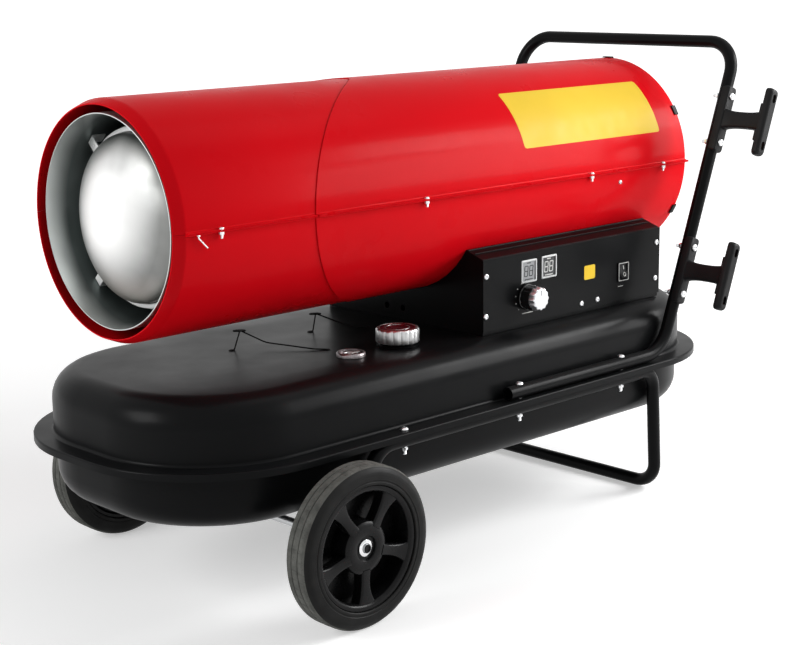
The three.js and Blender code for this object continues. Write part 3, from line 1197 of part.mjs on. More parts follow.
function fillerStrainer() {
  const top = NECK_TOP_Z + SEAT_GAP + STRAINER_WALL;
  const radius = NECK_RADIUS - NECK_WALL - SEAT_GAP;
  const bottom = NECK_TOP_Z - STRAINER_DEPTH;
  const profile = [
    [bottom, 0], [bottom, radius], [NECK_TOP_Z + SEAT_GAP, radius], [NECK_TOP_Z + SEAT_GAP, NECK_RADIUS],
    [top, NECK_RADIUS], [top, radius - STRAINER_WALL], [bottom + STRAINER_WALL, radius - STRAINER_WALL],
    [bottom + STRAINER_WALL, 0],
  ];
  const slots = Array.from({ length: STRAINER_SLOTS }, (_, k) =>
    box(0, 2 * radius, -STRAINER_SLOT_WIDTH / 2, STRAINER_SLOT_WIDTH / 2, bottom + STRAINER_SLOT_WIDTH,
      DECK_Z - NECK_DEPTH - STRAINER_SLOT_WIDTH).rotateZ((k * 2 * Math.PI) / STRAINER_SLOTS));
  return cut(solidOf(atFiller(turned('z', profile, ROUND_SIDES))), ...slots.map(atFiller));
}

function capGasket() {
  const outer = 2 * NECK_RADIUS;
  const top = GASKET_BOTTOM_Z + GASKET_THICKNESS;
  return solidOf(atFiller(ring('z', GASKET_BOTTOM_Z, top, outer, outer - 4 * NECK_WALL, ROUND_SIDES)));
}

function fuelCap() {
  const bottom = DECK_Z + SEAT_GAP + NECK_FLANGE_THICKNESS + CAP_CLEAR;
  const top = bottom + CAP_HEIGHT;
  const radius = CAP_DIAMETER / 2;
  const skirt = extruded(flutedOutline(radius, CAP_FLUTES, CAP_FLUTE_DEPTH), CAP_HEIGHT - CAP_CLEAR)
    .translate(0, 0, bottom);
  const crown = rod('z', bottom + 1, top, 2 * (radius - 2 * CAP_FLUTE_DEPTH), ROUND_SIDES);
  const ceiling = GASKET_BOTTOM_Z + GASKET_THICKNESS + SEAT_GAP;
  const thread = rod('z', bottom - 1, ceiling, 2 * (NECK_RADIUS + CAP_THREAD_ROOM), ROUND_SIDES);
  const recessDiameter = NECK_DIAMETER - 4 * NECK_WALL;
  const recess = rod('z', ceiling - 1, ceiling + CAP_RECESS, recessDiameter, ROUND_SIDES);
  return solidOf(atFiller(geometryOf(cut(join(skirt, crown), thread, recess))));
}

const STEM_END_Z = DECK_Z - GAUGE_STEM_DEPTH;
const ROD_END_Z = TANK_FLOOR_Z + SHEET + NECK_FLANGE_THICKNESS;
const FLOAT_BOTTOM_Z = ROD_END_Z + PLATE + SEAT_GAP;

function gaugeBody() {
  const seat = DECK_Z + SEAT_GAP;
  const top = seat + GAUGE_HEIGHT;
  const face = top - GAUGE_FACE_DEPTH;
  const radius = GAUGE_DIAMETER / 2;
  const pin = POINTER_PIN_DIAMETER / 2 + RUN_GAP;
  const rodRadius = GAUGE_ROD_DIAMETER / 2;
  const profile = [
    [ROD_END_Z, 0], [ROD_END_Z, 2 * rodRadius], [ROD_END_Z + PLATE, 2 * rodRadius],
    [ROD_END_Z + PLATE, rodRadius], [STEM_END_Z, rodRadius], [STEM_END_Z, GAUGE_STEM_DIAMETER / 2],
    [seat, GAUGE_STEM_DIAMETER / 2], [seat, radius], [top - 1, radius], [top, radius - 1],
    [top, radius - GAUGE_BEZEL], [face, radius - GAUGE_BEZEL], [face, pin],
    [face - POINTER_PIN_LENGTH - SEAT_GAP, pin], [face - POINTER_PIN_LENGTH - SEAT_GAP, 0],
  ];
  return solidOf(atGauge(turned('z', profile, ROUND_SIDES)));
}

function gaugeFloat() {
  const bore = GAUGE_ROD_DIAMETER + 2 * RUN_GAP;
  const top = FLOAT_BOTTOM_Z + FLOAT_HEIGHT;
  return solidOf(atGauge(ring('z', FLOAT_BOTTOM_Z, top, FLOAT_DIAMETER, bore, ROUND_SIDES)));
}

function gaugePointer() {
  const bottom = DECK_Z + SEAT_GAP + GAUGE_HEIGHT - GAUGE_FACE_DEPTH + SEAT_GAP;
  const reach = GAUGE_DIAMETER / 2 - GAUGE_BEZEL - 1;
  const half = POINTER_WIDTH / 2;
  const needle = box(-reach / 3, reach, -half, half, bottom, bottom + POINTER_THICKNESS);
  const hub = rod('z', bottom, bottom + 1.5 * POINTER_THICKNESS, 2 * POINTER_WIDTH, 12);
  const pin = rod('z', bottom - POINTER_PIN_LENGTH, bottom + 1, POINTER_PIN_DIAMETER, 8);
  return solidOf(atGauge(geometryOf(join(needle, hub, pin))));
}

// ---------------------------------------------------------------- fuel and air lines

function line(corners) {
  const path = new BentPath(corners, corners.slice(2).map(() => LINE_BEND), LINE_BEND_STEPS);
  return solidOf(bentTube(path, LINE_DIAMETER, LINE_BORE, LINE_SIDES, 0));
}

function fuelLine() {
  const nozzleEnd = NOZZLE_FRONT_X + NOZZLE_LENGTH + SEAT_GAP;
  return line([
    at(FUEL_LINE_X, FUEL_LINE_Y, TANK_FLOOR_Z + SHEET + PICKUP_CLEAR),
    at(FUEL_LINE_X, FUEL_LINE_Y, BARREL_AXIS_Z),
    at(FUEL_LINE_TURN_X, 0, BARREL_AXIS_Z),
    at(nozzleEnd, 0, BARREL_AXIS_Z),
  ]);
}

function airLine() {
  const portX = NOZZLE_FRONT_X + NOZZLE_LENGTH - LINE_DIAMETER * 0.7;
  return line([
    at(AIR_LINE_REAR_X, 0, BARREL_AXIS_Z - PUMP_DIAMETER / 2 - SEAT_GAP),
    at(AIR_LINE_REAR_X, 0, AIR_LINE_Z),
    at(AIR_LINE_FRONT_X, 0, AIR_LINE_Z),
    at(AIR_LINE_FRONT_X, 0, AIR_LINE_CROSS_Z),
    at(portX, 0, AIR_LINE_CROSS_Z),
    at(portX, 0, BARREL_AXIS_Z - NOZZLE_DIAMETER / 2 - SEAT_GAP),
  ]);
}

// ---------------------------------------------------------------- the whole heater

add('tank_upper_shell', blackPaint(), tankUpperShell());
add('tank_lower_shell', blackPaint(), tankLowerShell());
add('chassis_tube', blackPaint(), chassisTube());
add('handle_tube', blackPaint(), handleTube());
add('wheel_axle', zinc(), wheelAxle());
for (const [place, side] of [['near', -1], ['far', 1]]) {
  add(`axle_ring_${place}`, zinc(), axleRing(side));
  add(`tire_${place}`, rubber(), tyre(side));
  add(`rim_${place}`, blackPlastic(), wheelRim(side));
}
for (const [place, side] of [['upper', 1], ['lower', -1]]) {
  add(`barrel_front_${place}`, redPaint(), barrelFront(side));
  add(`barrel_rear_${place}`, redPaint(), barrelRear(side));
}
add('rear_guard', blackPaint(), rearGuard());
add('combustion_chamber', silverSheet(), combustionChamber());
add('deflector_ring', silverSheet(), deflectorRing());
add('flame_deflector', silverSheet(), flameDeflector());
add('burner_head', silverSheet(), burnerHead());
add('fuel_nozzle', brass(), fuelNozzle());
add('spark_igniter', ceramic(), sparkIgniter());
add('photocell', blackPlastic(), photocell());
add('motor_bracket', blackPaint(), motorBracket());
add('motor_housing', motorGrey(), motorHousing());
add('motor_shaft', zinc(), motorShaft());
add('fan', castAluminium(), fan());
add('pump_body', castAluminium(), pumpBody());
add('pump_rotor', motorGrey(), pumpRotor());
add('pump_cover', castAluminium(), pumpCover());
add('base_housing', blackPaint(), baseHousing());
add('control_panel', blackPaint(), controlPanel());
add('display_unit', displayGrey(), displayUnit());
add('control_board', boardGreen(), controlBoard());
add('thermostat_knob', blackPlastic(), thermostatKnob());
add('switch_housing', blackPlastic(), switchHousing());
add('power_rocker', blackPlastic(), powerRocker());
add('ignition_transformer', motorGrey(), ignitionTransformer());
add('cable_gland', blackPlastic(), cableGland());
add('filler_neck', zinc(), fillerNeck());
add('filler_strainer', zinc(), fillerStrainer());
add('cap_gasket', rubber(), capGasket());
add('fuel_cap', chrome(), fuelCap());
add('gauge_body', chrome(), gaugeBody());
add('gauge_float', blackPlastic(), gaugeFloat());
add('gauge_pointer', chrome(), gaugePointer());
add('fuel_line', copper(), fuelLine());
add('air_line', copper(), airLine());
['lower', 'upper'].forEach((place, k) =>
  add(`cord_wrap_${place}`, blackPlastic(), cordWrap(WRAP_CENTRES_Z[k])));
wrapBoltPlaces().forEach((place, k) => add(`wrap_bolt_${k + 1}`, zinc(), wrapBolt(place)));
for (const [place, side] of [['near', -1], ['far', 1]]) {
  RAIL_BOLT_X.forEach((x, k) => add(`frame_bolt_${place}_${k + 1}`, zinc(), frameBolt(x, side * RAIL_Y)));
}

const bounds = new THREE.Box3().setFromObject(group);
const middle = bounds.getCenter(new THREE.Vector3());
for (const mesh of group.children) mesh.geometry.translate(-middle.x, -middle.y, -bounds.min.z);

export default group;
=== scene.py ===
"""Looks of a portable forced air heater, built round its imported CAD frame.

Sizes in the code are millimetres from the wheel axle's middle over the floor, as the real heater is
measured, and placed() turns them into the frame's metres. The outlet faces -X, the panel faces -Y.
"""

import math

import bmesh
import bpy
from mathutils import Matrix, Vector


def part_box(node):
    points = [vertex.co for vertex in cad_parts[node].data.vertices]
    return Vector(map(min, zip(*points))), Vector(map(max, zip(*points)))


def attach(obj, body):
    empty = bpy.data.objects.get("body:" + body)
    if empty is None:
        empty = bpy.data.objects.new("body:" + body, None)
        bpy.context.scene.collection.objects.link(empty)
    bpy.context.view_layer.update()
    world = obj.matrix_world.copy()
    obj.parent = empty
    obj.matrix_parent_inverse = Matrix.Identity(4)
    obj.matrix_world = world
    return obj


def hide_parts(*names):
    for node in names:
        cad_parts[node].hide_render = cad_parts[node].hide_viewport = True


bl_info = {
    "name": "Forced Air Heater Looks",
    "version": (1, 0, 0),
    "blender": (4, 5, 0),
    "location": "View3D > Sidebar > Heater",
    "description": "Builds the visible pieces, finishes and studio of a portable forced air heater",
    "category": "Object",
}

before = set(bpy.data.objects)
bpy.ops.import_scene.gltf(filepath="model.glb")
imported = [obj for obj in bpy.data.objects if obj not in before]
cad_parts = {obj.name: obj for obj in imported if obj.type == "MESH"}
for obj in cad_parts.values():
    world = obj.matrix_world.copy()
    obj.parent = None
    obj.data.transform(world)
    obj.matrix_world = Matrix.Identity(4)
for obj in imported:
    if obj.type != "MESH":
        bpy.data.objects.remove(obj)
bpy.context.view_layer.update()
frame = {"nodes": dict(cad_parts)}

# ------------------------------------------------------------------ sizes of the real heater, mm

AXLE_LOW, AXLE_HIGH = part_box("wheel_axle")
ORIGIN = Vector(((AXLE_LOW.x + AXLE_HIGH.x) / 2, (AXLE_LOW.y + AXLE_HIGH.y) / 2, 0))
AXLE_Z = 110
BARREL_Z = 527.3
FRONT_RADIUS = 159.6
REAR_RADIUS = 161
BARREL_FRONT = -189.3
BARREL_REAR = 833.8
PLATE = 2
TANK_FRONT, TANK_REAR = -252.4, 900.6
TANK_HALF, TANK_CORNER = 238.2, 202
FLANGE_Z = 229.4
DECK_Z = 314.6
RAIL_Y = 223.5
RAIL_Z = 215.6
HANDLE_RAIL_Z = 239.7
LEAN = math.radians(21.06)
PANEL_Y = -170.3
WHEEL_FACE = 291.8
KNOB = (437, 0, 361)
SWITCH_X, SWITCH_Z = 664, 368
FILLER = (224, -115, 0)
GAUGE = (132, -117, 0)
CHAMBER_RADIUS = 141
GUARD_X = 827.3
FAN_X = 505
WINDOWS = ((443, 399, 3, 1), (488, 400, 1, 2))  # x and z of the middle, finish of pane and digits
FLANGE_BOLT_X = 130.5
RAIL_BOLTS_X = (363, 596)
WRAP_HEIGHTS = {"lower": 366, "upper": 598}
WRAP_BOLT_REACH = 38  # from a wrap's middle to each of its two bolts


def placed(point):
    """Millimetres from the axle's middle over the floor, as a place in the frame."""
    x, y, z = point
    return ORIGIN + Vector((x / 1000, y / 1000, z / 1000))


# ------------------------------------------------------------------ user settings


class HEATER_PG_sizes(bpy.types.PropertyGroup):
    """Sizes that a user may change."""

    tube: bpy.props.FloatProperty(
        name="Frame tube", description="Outer diameter of the frame tubes", default=0.020,
        min=0.018, max=0.020, unit="LENGTH")
    screw_head: bpy.props.FloatProperty(
        name="Screw head", description="Diameter of the small screws' heads", default=0.008,
        min=0.005, max=0.010, unit="LENGTH")
    guard_wire: bpy.props.FloatProperty(
        name="Guard wire", description="Diameter of the rear guard's wires", default=0.003,
        min=0.002, max=0.004, unit="LENGTH")
    deck_wire: bpy.props.FloatProperty(
        name="Deck wire", description="Diameter of the bent wires on the tank", default=0.0021,
        min=0.001, max=0.003, unit="LENGTH")
    lens: bpy.props.FloatProperty(
        name="Lens", description="Focal length of the camera on a 36 mm wide sensor",
        default=75.504, min=30, max=150, unit="CAMERA")


class HEATER_PG_colours(bpy.types.PropertyGroup):
    """Colours that a user may change."""

    barrel: bpy.props.FloatVectorProperty(
        name="Barrel", description="Paint of the barrel", default=(0.74, 0.0035, 0.009),
        size=3, min=0, max=1, subtype="COLOR")
    frame: bpy.props.FloatVectorProperty(
        name="Frame", description="Paint of the tank, base and tubes", default=(0.0042, 0.0044, 0.0047),
        size=3, min=0, max=1, subtype="COLOR")
    sheet: bpy.props.FloatVectorProperty(
        name="Label sheet", description="Plain sheet on the barrel", default=(0.86, 0.58, 0.045),
        size=3, min=0, max=1, subtype="COLOR")
    floor: bpy.props.FloatVectorProperty(
        name="Floor", description="Studio floor and backdrop", default=(0.80, 0.80, 0.80),
        size=3, min=0, max=1, subtype="COLOR")


def sizes():
    return bpy.context.scene.heater_sizes


def colours():
    return bpy.context.scene.heater_colours


# ------------------------------------------------------------------ finishes


class Finish:
    """A material under construction: a Principled surface and the nodes that vary it."""

    def __init__(self, name, colour, roughness, metallic=0.0):
        self.material = bpy.data.materials.new(name)
        self.material.use_nodes = True
        self.tree = self.material.node_tree
        self.shader = self.tree.nodes["Principled BSDF"]
        self.shader.inputs["Base Color"].default_value = (*colour, 1)
        self.shader.inputs["Roughness"].default_value = roughness
        self.shader.inputs["Metallic"].default_value = metallic
        self.place = self.node("ShaderNodeTexCoord").outputs["Object"]
        self.height = None
        self.colour = None

    def node(self, kind, **values):
        made = self.tree.nodes.new(kind)
        for name, value in values.items():
            setattr(made, name, value)
        return made

    def link(self, source, target):
        self.tree.links.new(source, target)

    def mapped(self, centre=(0, 0, 0), stretch=(1, 1, 1)):
        """Object coordinates about a centre, stretched by axis."""
        mapping = self.node("ShaderNodeMapping", vector_type="TEXTURE")
        mapping.inputs["Location"].default_value = centre
        mapping.inputs["Scale"].default_value = stretch
        self.link(self.place, mapping.inputs["Vector"])
        return mapping.outputs["Vector"]

    def around(self, centre, axis):
        """Distance from an axis through the centre."""
        keep = [0.0 if k == "XYZ".index(axis) else 1.0 for k in range(3)]
        flat = self.node("ShaderNodeVectorMath", operation="MULTIPLY")
        self.link(self.mapped(centre), flat.inputs[0])
        flat.inputs[1].default_value = keep
        length = self.node("ShaderNodeVectorMath", operation="LENGTH")
        self.link(flat.outputs["Vector"], length.inputs[0])
        return length.outputs["Value"]

    def noise(self, scale, detail=2.0, vector=None, distance=None):
        """A noise value over the surface, or over a single distance."""
        noise = self.node("ShaderNodeTexNoise")
        noise.inputs["Scale"].default_value = scale
        noise.inputs["Detail"].default_value = detail
        if distance is not None:
            noise.noise_dimensions = "1D"
            self.link(distance, noise.inputs["W"])
        else:
            self.link(vector or self.place, noise.inputs["Vector"])
        return noise.outputs["Fac"]

    def spread(self, value, low, high, start=0.3, end=0.7):
        """A value between two limits as its source goes from start to end."""
        ranged = self.node("ShaderNodeMapRange", clamp=True)
        self.link(value, ranged.inputs["Value"])
        for name, number in (("From Min", start), ("From Max", end), ("To Min", low), ("To Max", high)):
            ranged.inputs[name].default_value = number
        return ranged.outputs["Result"]

    def tint(self, mask, colour):
        """The colour so far turns towards another where the mask is 1."""
        mix = self.node("ShaderNodeMix", data_type="RGBA")
        self.link(mask, mix.inputs["Factor"])
        if self.colour is None:
            mix.inputs["A"].default_value = self.shader.inputs["Base Color"].default_value
        else:
            self.link(self.colour, mix.inputs["A"])
        mix.inputs["B"].default_value = (*colour, 1)
        self.colour = mix.outputs["Result"]
        self.link(self.colour, self.shader.inputs["Base Color"])
        return self

    def clouds(self, scale, detail, share, colour, start=0.3, end=0.7):
        """Patches of another colour by a noise, up to a share."""
        return self.tint(self.spread(self.noise(scale, detail), 0, share, start, end), colour)

    def rough(self, scale, detail, low, high):
        """Roughness that wanders between two limits by a noise."""
        self.link(self.spread(self.noise(scale, detail), low, high), self.shader.inputs["Roughness"])
        return self

    def bump(self, value, depth, strength):
        """Relief of this depth in metres where the value goes from 0 to 1."""
        bump = self.node("ShaderNodeBump")
        bump.inputs["Distance"].default_value = depth
        bump.inputs["Strength"].default_value = strength
        self.link(value, bump.inputs["Height"])
        if self.height is not None:
            self.link(self.height, bump.inputs["Normal"])
        self.height = bump.outputs["Normal"]
        self.link(self.height, self.shader.inputs["Normal"])
        return self

    def grain(self, scale, detail, depth, strength):
        """Relief by a noise."""
        return self.bump(self.noise(scale, detail), depth, strength)

    def coat(self, weight, roughness):
        self.shader.inputs["Coat Weight"].default_value = weight
        self.shader.inputs["Coat Roughness"].default_value = roughness
        return self

    def sheen_level(self, level):
        """How strongly the surface mirrors its surroundings head on; 0.5 is plain plastic."""
        self.shader.inputs["Specular IOR Level"].default_value = level
        return self

    def along(self, axis, start, end):
        """From 0 to 1 as the place goes from start to end along an axis, in metres."""
        parts = self.node("ShaderNodeSeparateXYZ")
        self.link(self.place, parts.inputs["Vector"])
        return self.spread(parts.outputs[axis], 0, 1, start, end)


def darker(colour, share):
    return tuple(part * share for part in colour)


def gloss_paint(name, colour):
    """Smooth enamel: faint orange peel, broad tone changes, a few dust specks."""
    paint = Finish(name, colour, 0.32)
    paint.clouds(3.5, 2, 0.5, darker(colour, 0.82))
    paint.clouds(900, 1, 0.25, darker(colour, 1.4), 0.70, 0.76)
    paint.rough(14, 3, 0.25, 0.36)
    paint.grain(260, 1, 0.00004, 0.35)
    paint.grain(9, 1, 0.0006, 0.10)
    return paint.sheen_level(0.02).coat(0.03, 0.14).material


def satin_paint(name, colour):
    """Powder coat on pressed steel: fine grain, soft waves and light handling marks."""
    paint = Finish(name, colour, 0.33)
    paint.clouds(5, 2, 0.6, darker(colour, 1.6))
    paint.clouds(700, 1, 0.25, darker(colour, 3.0), 0.68, 0.76)
    paint.rough(11, 4, 0.28, 0.38)
    paint.grain(620, 1, 0.00005, 0.35)
    paint.grain(7, 1, 0.0010, 0.10)
    return paint.sheen_level(0.05).coat(0.02, 0.17).material


def moulded_plastic(name, colour, roughness=0.5):
    """Injection-moulded plastic with a fine spark-eroded grain."""
    plastic = Finish(name, colour, roughness)
    plastic.clouds(18, 2, 0.5, darker(colour, 1.6))
    plastic.rough(40, 3, roughness - 0.08, roughness + 0.1)
    plastic.sheen_level(0.14)
    return plastic.grain(1400, 1, 0.00005, 0.5).material


def tyre_wall(name):
    """Clean dark rubber with fine rings round the wheel and a little dust."""
    rubber = Finish(name, (0.008, 0.008, 0.008), 0.6).sheen_level(0.12)
    distance = rubber.around((ORIGIN.x, ORIGIN.y, AXLE_Z / 1000), "Y")
    rubber.clouds(60, 4, 0.5, (0.018, 0.018, 0.017))
    rubber.rough(35, 3, 0.45, 0.66)
    rubber.bump(rubber.noise(420, 0, distance=distance), 0.00025, 0.5)
    return rubber.grain(900, 1, 0.00006, 0.4).material


def tyre_tread(name):
    """Dusty grey running surface with scuffs along its travel."""
    rubber = Finish(name, (0.135, 0.137, 0.126), 0.85).sheen_level(0.2)
    rubber.clouds(75, 5, 0.8, (0.055, 0.056, 0.052))
    rubber.clouds(26, 3, 0.6, (0.15, 0.152, 0.14), 0.45, 0.75)
    rubber.clouds(500, 2, 0.6, (0.025, 0.025, 0.024), 0.62, 0.72)
    rubber.rough(90, 3, 0.78, 0.95)
    return rubber.grain(650, 3, 0.00025, 0.5).material


def soft_rubber(name):
    rubber = Finish(name, (0.02, 0.02, 0.02), 0.65)
    rubber.clouds(120, 2, 0.6, (0.05, 0.05, 0.05))
    rubber.rough(80, 3, 0.55, 0.75)
    return rubber.grain(1500, 1, 0.00005, 0.5).material


def rolled_steel(name, colour, centre, axis):
    """Bare heat-proof sheet: drawn lines round an axis, cloudy oxide tones."""
    steel = Finish(name, colour, 0.36, 1.0)
    distance = steel.around(centre, axis)
    steel.clouds(6, 3, 0.6, darker(colour, 0.80))
    steel.clouds(45, 4, 0.25, darker(colour, 0.6), 0.55, 0.75)
    steel.rough(24, 4, 0.28, 0.46)
    steel.bump(steel.noise(900, 1, distance=distance), 0.00003, 0.5)
    return steel.grain(14, 1, 0.0008, 0.12).material


def shaded_chamber_sheet(name, centre):
    """Aluminised sheet of the chamber: pale at the mouth, with painted shade darkening it deeper
    inside.
    """
    steel = Finish(name, (0.80, 0.83, 0.82), 0.38, 1.0)
    # Painted shade: the sheet turns dark deeper inside the chamber, away from the mouth.
    depth = steel.along("X", ORIGIN.x - 0.192, ORIGIN.x - 0.150)
    steel.tint(depth, (0.10, 0.12, 0.118))
    steel.clouds(6, 3, 0.3, (0.30, 0.32, 0.31))
    steel.rough(24, 4, 0.34, 0.5)
    distance = steel.around(centre, "X")
    steel.bump(steel.noise(900, 1, distance=distance), 0.00003, 0.5)
    return steel.grain(14, 1, 0.0008, 0.12).material


def spun_dome(name, centre):
    """Spun steel: a painted highlight near its crown, painted shade greying it towards its edge, a
    faint brown heat tint low down.
    """
    steel = Finish(name, (0.95, 0.95, 0.94), 0.40, 1.0)
    distance = steel.around(centre, "X")
    # Painted highlight: bright round a spot near the crown and dark beyond it; then painted shade
    # greying the edge.
    painted_highlight_reach = steel.around((centre[0], centre[1] + 0.024, centre[2] + 0.012), "X")
    steel.tint(steel.spread(painted_highlight_reach, 0, 1, 0.040, 0.115), (0.075, 0.08, 0.077))
    steel.tint(steel.spread(distance, 0, 0.5, 0.080, 0.104), (0.22, 0.22, 0.21))
    steel.clouds(9, 3, 0.25, (0.66, 0.66, 0.65), 0.4, 0.7)
    low = steel.along("Z", BARREL_Z / 1000 - 0.06, BARREL_Z / 1000 - 0.11)
    steel.tint(steel.spread(low, 0, 0.45, 0, 1), (0.55, 0.47, 0.42))
    steel.rough(24, 4, 0.34, 0.48)
    steel.bump(steel.noise(700, 1, distance=distance), 0.00003, 0.4)
    return steel.grain(16, 1, 0.0006, 0.12).material


def plated_steel(name):
    """Bright zinc plating with its fine spangle and dull spots."""
    colour = (0.80, 0.81, 0.82)
    zinc = Finish(name, colour, 0.28, 1.0)
    zinc.clouds(180, 3, 0.5, darker(colour, 0.72))
    zinc.rough(320, 3, 0.2, 0.42)
    return zinc.grain(900, 2, 0.00003, 0.4).material


def brushed_alloy(name, colour):
    """Machined alloy with fine upright tool marks round its rim."""
    alloy = Finish(name, colour, 0.32, 1.0)
    streaks = alloy.noise(520, 2, alloy.mapped(stretch=(1, 1, 25)))
    alloy.tint(alloy.spread(streaks, 0, 0.55), darker(colour, 0.45))
    alloy.rough(90, 3, 0.26, 0.42)
    return alloy.bump(streaks, 0.00004, 0.5).material


def gloss_mould(name):
    """Hard black plastic with a polished skin and faint flow marks."""
    plastic = Finish(name, (0.006, 0.006, 0.0065), 0.14)
    plastic.clouds(60, 3, 0.5, (0.012, 0.012, 0.013))
    plastic.rough(90, 3, 0.10, 0.24)
    return plastic.grain(40, 1, 0.0001, 0.1).material


def polished_chrome(name):
    chrome = Finish(name, (0.80, 0.81, 0.82), 0.1, 1.0)
    chrome.clouds(90, 3, 0.4, (0.60, 0.61, 0.62))
    chrome.rough(240, 4, 0.06, 0.2)
    return chrome.grain(60, 1, 0.0001, 0.1).material


def cast_metal(name, colour, metallic=1.0, roughness=0.5):
    """Sand-cast or sprayed metal with a coarse skin."""
    cast = Finish(name, colour, roughness, metallic)
    cast.clouds(30, 4, 0.7, darker(colour, 0.7))
    cast.rough(110, 3, roughness - 0.08, roughness + 0.14)
    return cast.grain(700, 3, 0.0002, 0.5).material


def drawn_metal(name, colour):
    """Drawn brass or copper, tarnished in patches."""
    metal = Finish(name, colour, 0.3, 1.0)
    metal.clouds(28, 4, 0.7, darker(colour, 0.45))
    metal.rough(60, 3, 0.22, 0.5)
    return metal.grain(600, 2, 0.00004, 0.4).material


def glazed_ceramic(name):
    glaze = Finish(name, (0.80, 0.77, 0.70), 0.25)
    glaze.clouds(50, 3, 0.5, (0.62, 0.57, 0.48))
    return glaze.rough(120, 2, 0.15, 0.3).coat(0.6, 0.05).material


def printed_board(name):
    """Green board: faint tracks in a grid and bright solder spots."""
    board = Finish(name, (0.012, 0.09, 0.035), 0.45)
    grid = board.node("ShaderNodeTexBrick", offset=0.5)
    grid.inputs["Scale"].default_value = 110
    board.link(board.mapped(), grid.inputs["Vector"])
    board.tint(board.spread(grid.outputs["Fac"], 0, 0.7, 0.2, 0.8), (0.03, 0.2, 0.09))
    board.clouds(420, 0, 0.9, (0.5, 0.5, 0.48), 0.68, 0.71)
    return board.rough(90, 2, 0.35, 0.55).material


def printed_sheet(name, colour):
    """Plain self-adhesive sheet: slight wrinkles and uneven ink, nothing printed on it."""
    sheet = Finish(name, colour, 0.45).sheen_level(0.1)
    sheet.clouds(10, 3, 0.5, darker(colour, 0.86))
    sheet.rough(30, 3, 0.36, 0.52)
    return sheet.grain(22, 2, 0.0005, 0.18).material


def dial_red(name):
    """Deep red enamel of the cap's top and the gauge's face."""
    enamel = Finish(name, (0.105, 0.010, 0.016), 0.3).sheen_level(0.3)
    enamel.clouds(90, 3, 0.6, (0.05, 0.005, 0.008))
    enamel.grain(500, 1, 0.00004, 0.3)
    return enamel.rough(150, 2, 0.24, 0.40).coat(0.15, 0.15).material


def window_grey(name, colour=(0.68, 0.69, 0.69)):
    """Moulded display frame in pale grey."""
    grey = Finish(name, colour, 0.4)
    grey.clouds(150, 2, 0.4, darker(colour, 0.7))
    grey.grain(1200, 1, 0.00004, 0.3)
    return grey.rough(80, 2, 0.3, 0.5).material


FINISHES = {}


def finish(name):
    """A named finish, made once."""
    if name not in FINISHES:
        axle = (ORIGIN.x, ORIGIN.y, AXLE_Z / 1000)
        barrel = (ORIGIN.x, ORIGIN.y, BARREL_Z / 1000)
        makers = {
            "red_enamel": lambda n: gloss_paint(n, tuple(colours().barrel)),
            "black_coat": lambda n: satin_paint(n, tuple(colours().frame)),
            "black_mould": lambda n: moulded_plastic(n, (0.0065, 0.0065, 0.007)),
            "rim_mould": lambda n: moulded_plastic(n, (0.0045, 0.0045, 0.0048), 0.24),
            "tyre_wall": tyre_wall,
            "tyre_tread": tyre_tread,
            "soft_rubber": soft_rubber,
            "chamber_sheet": lambda n: shaded_chamber_sheet(n, barrel),
            "dome_steel": lambda n: spun_dome(n, barrel),
            "bright_tab": lambda n: cast_metal(n, (0.88, 0.88, 0.87), 0.3, 0.4),
            "satin_alloy": lambda n: brushed_alloy(n, (0.66, 0.66, 0.66)),
            "dull_alloy": lambda n: brushed_alloy(n, (0.30, 0.27, 0.275)),
            "gloss_mould": gloss_mould,
            "zinc": plated_steel,
            "axle_zinc": lambda n: rolled_steel(n, (0.62, 0.63, 0.64), axle, "Y"),
            "chrome": polished_chrome,
            "cast_alloy": lambda n: cast_metal(n, (0.42, 0.43, 0.44)),
            "motor_paint": lambda n: cast_metal(n, (0.07, 0.075, 0.08), 0.0, 0.42),
            "brass": lambda n: drawn_metal(n, (0.56, 0.38, 0.12)),
            "copper": lambda n: drawn_metal(n, (0.58, 0.25, 0.12)),
            "ceramic": glazed_ceramic,
            "board": printed_board,
            "sheet": lambda n: printed_sheet(n, tuple(colours().sheet)),
            "dial_red": dial_red,
            "window_frame": window_grey,
            "window_pale": lambda n: window_grey(n, (0.30, 0.31, 0.32)),
            "window_dark": lambda n: window_grey(n, (0.018, 0.02, 0.022)),
            "pale_ink": lambda n: window_grey(n, (0.62, 0.62, 0.60)),
            "knob_cap": lambda n: rolled_steel(n, (0.70, 0.71, 0.73), tuple(placed(KNOB)), "Y"),
        }
        FINISHES[name] = makers[name](name)
    return FINISHES[name]


# ------------------------------------------------------------------ forms


def eased(corners, radii, steps=3, closed=True):
    """A polyline whose corners are rounded, by one radius or by one for each corner."""
    out = []
    count = len(corners)
    for i, corner in enumerate(corners):
        here = Vector(corner)
        radius = radii[i] if isinstance(radii, (list, tuple)) else radii
        back = Vector(corners[i - 1]) - here
        ahead = Vector(corners[(i + 1) % count]) - here
        ends = not closed and i in (0, count - 1)
        if ends or radius <= 0 or back.length < 1e-6 or ahead.length < 1e-6:
            out.append(here)
            continue
        half = back.angle(ahead) / 2
        if half > math.pi / 2 - 0.02 or half < 0.02:
            out.append(here)
            continue
        reach = min(radius / math.tan(half), 0.49 * back.length, 0.49 * ahead.length)
        back.normalize()
        ahead.normalize()
        centre = here + (back + ahead).normalized() * reach / math.cos(half)
        start, end = here + back * reach - centre, here + ahead * reach - centre
        turn = start.angle(end)
        for k in range(steps + 1):
            share = k / steps
            out.append(centre + start * (math.sin((1 - share) * turn) / math.sin(turn))
                       + end * (math.sin(share * turn) / math.sin(turn)))
    return out


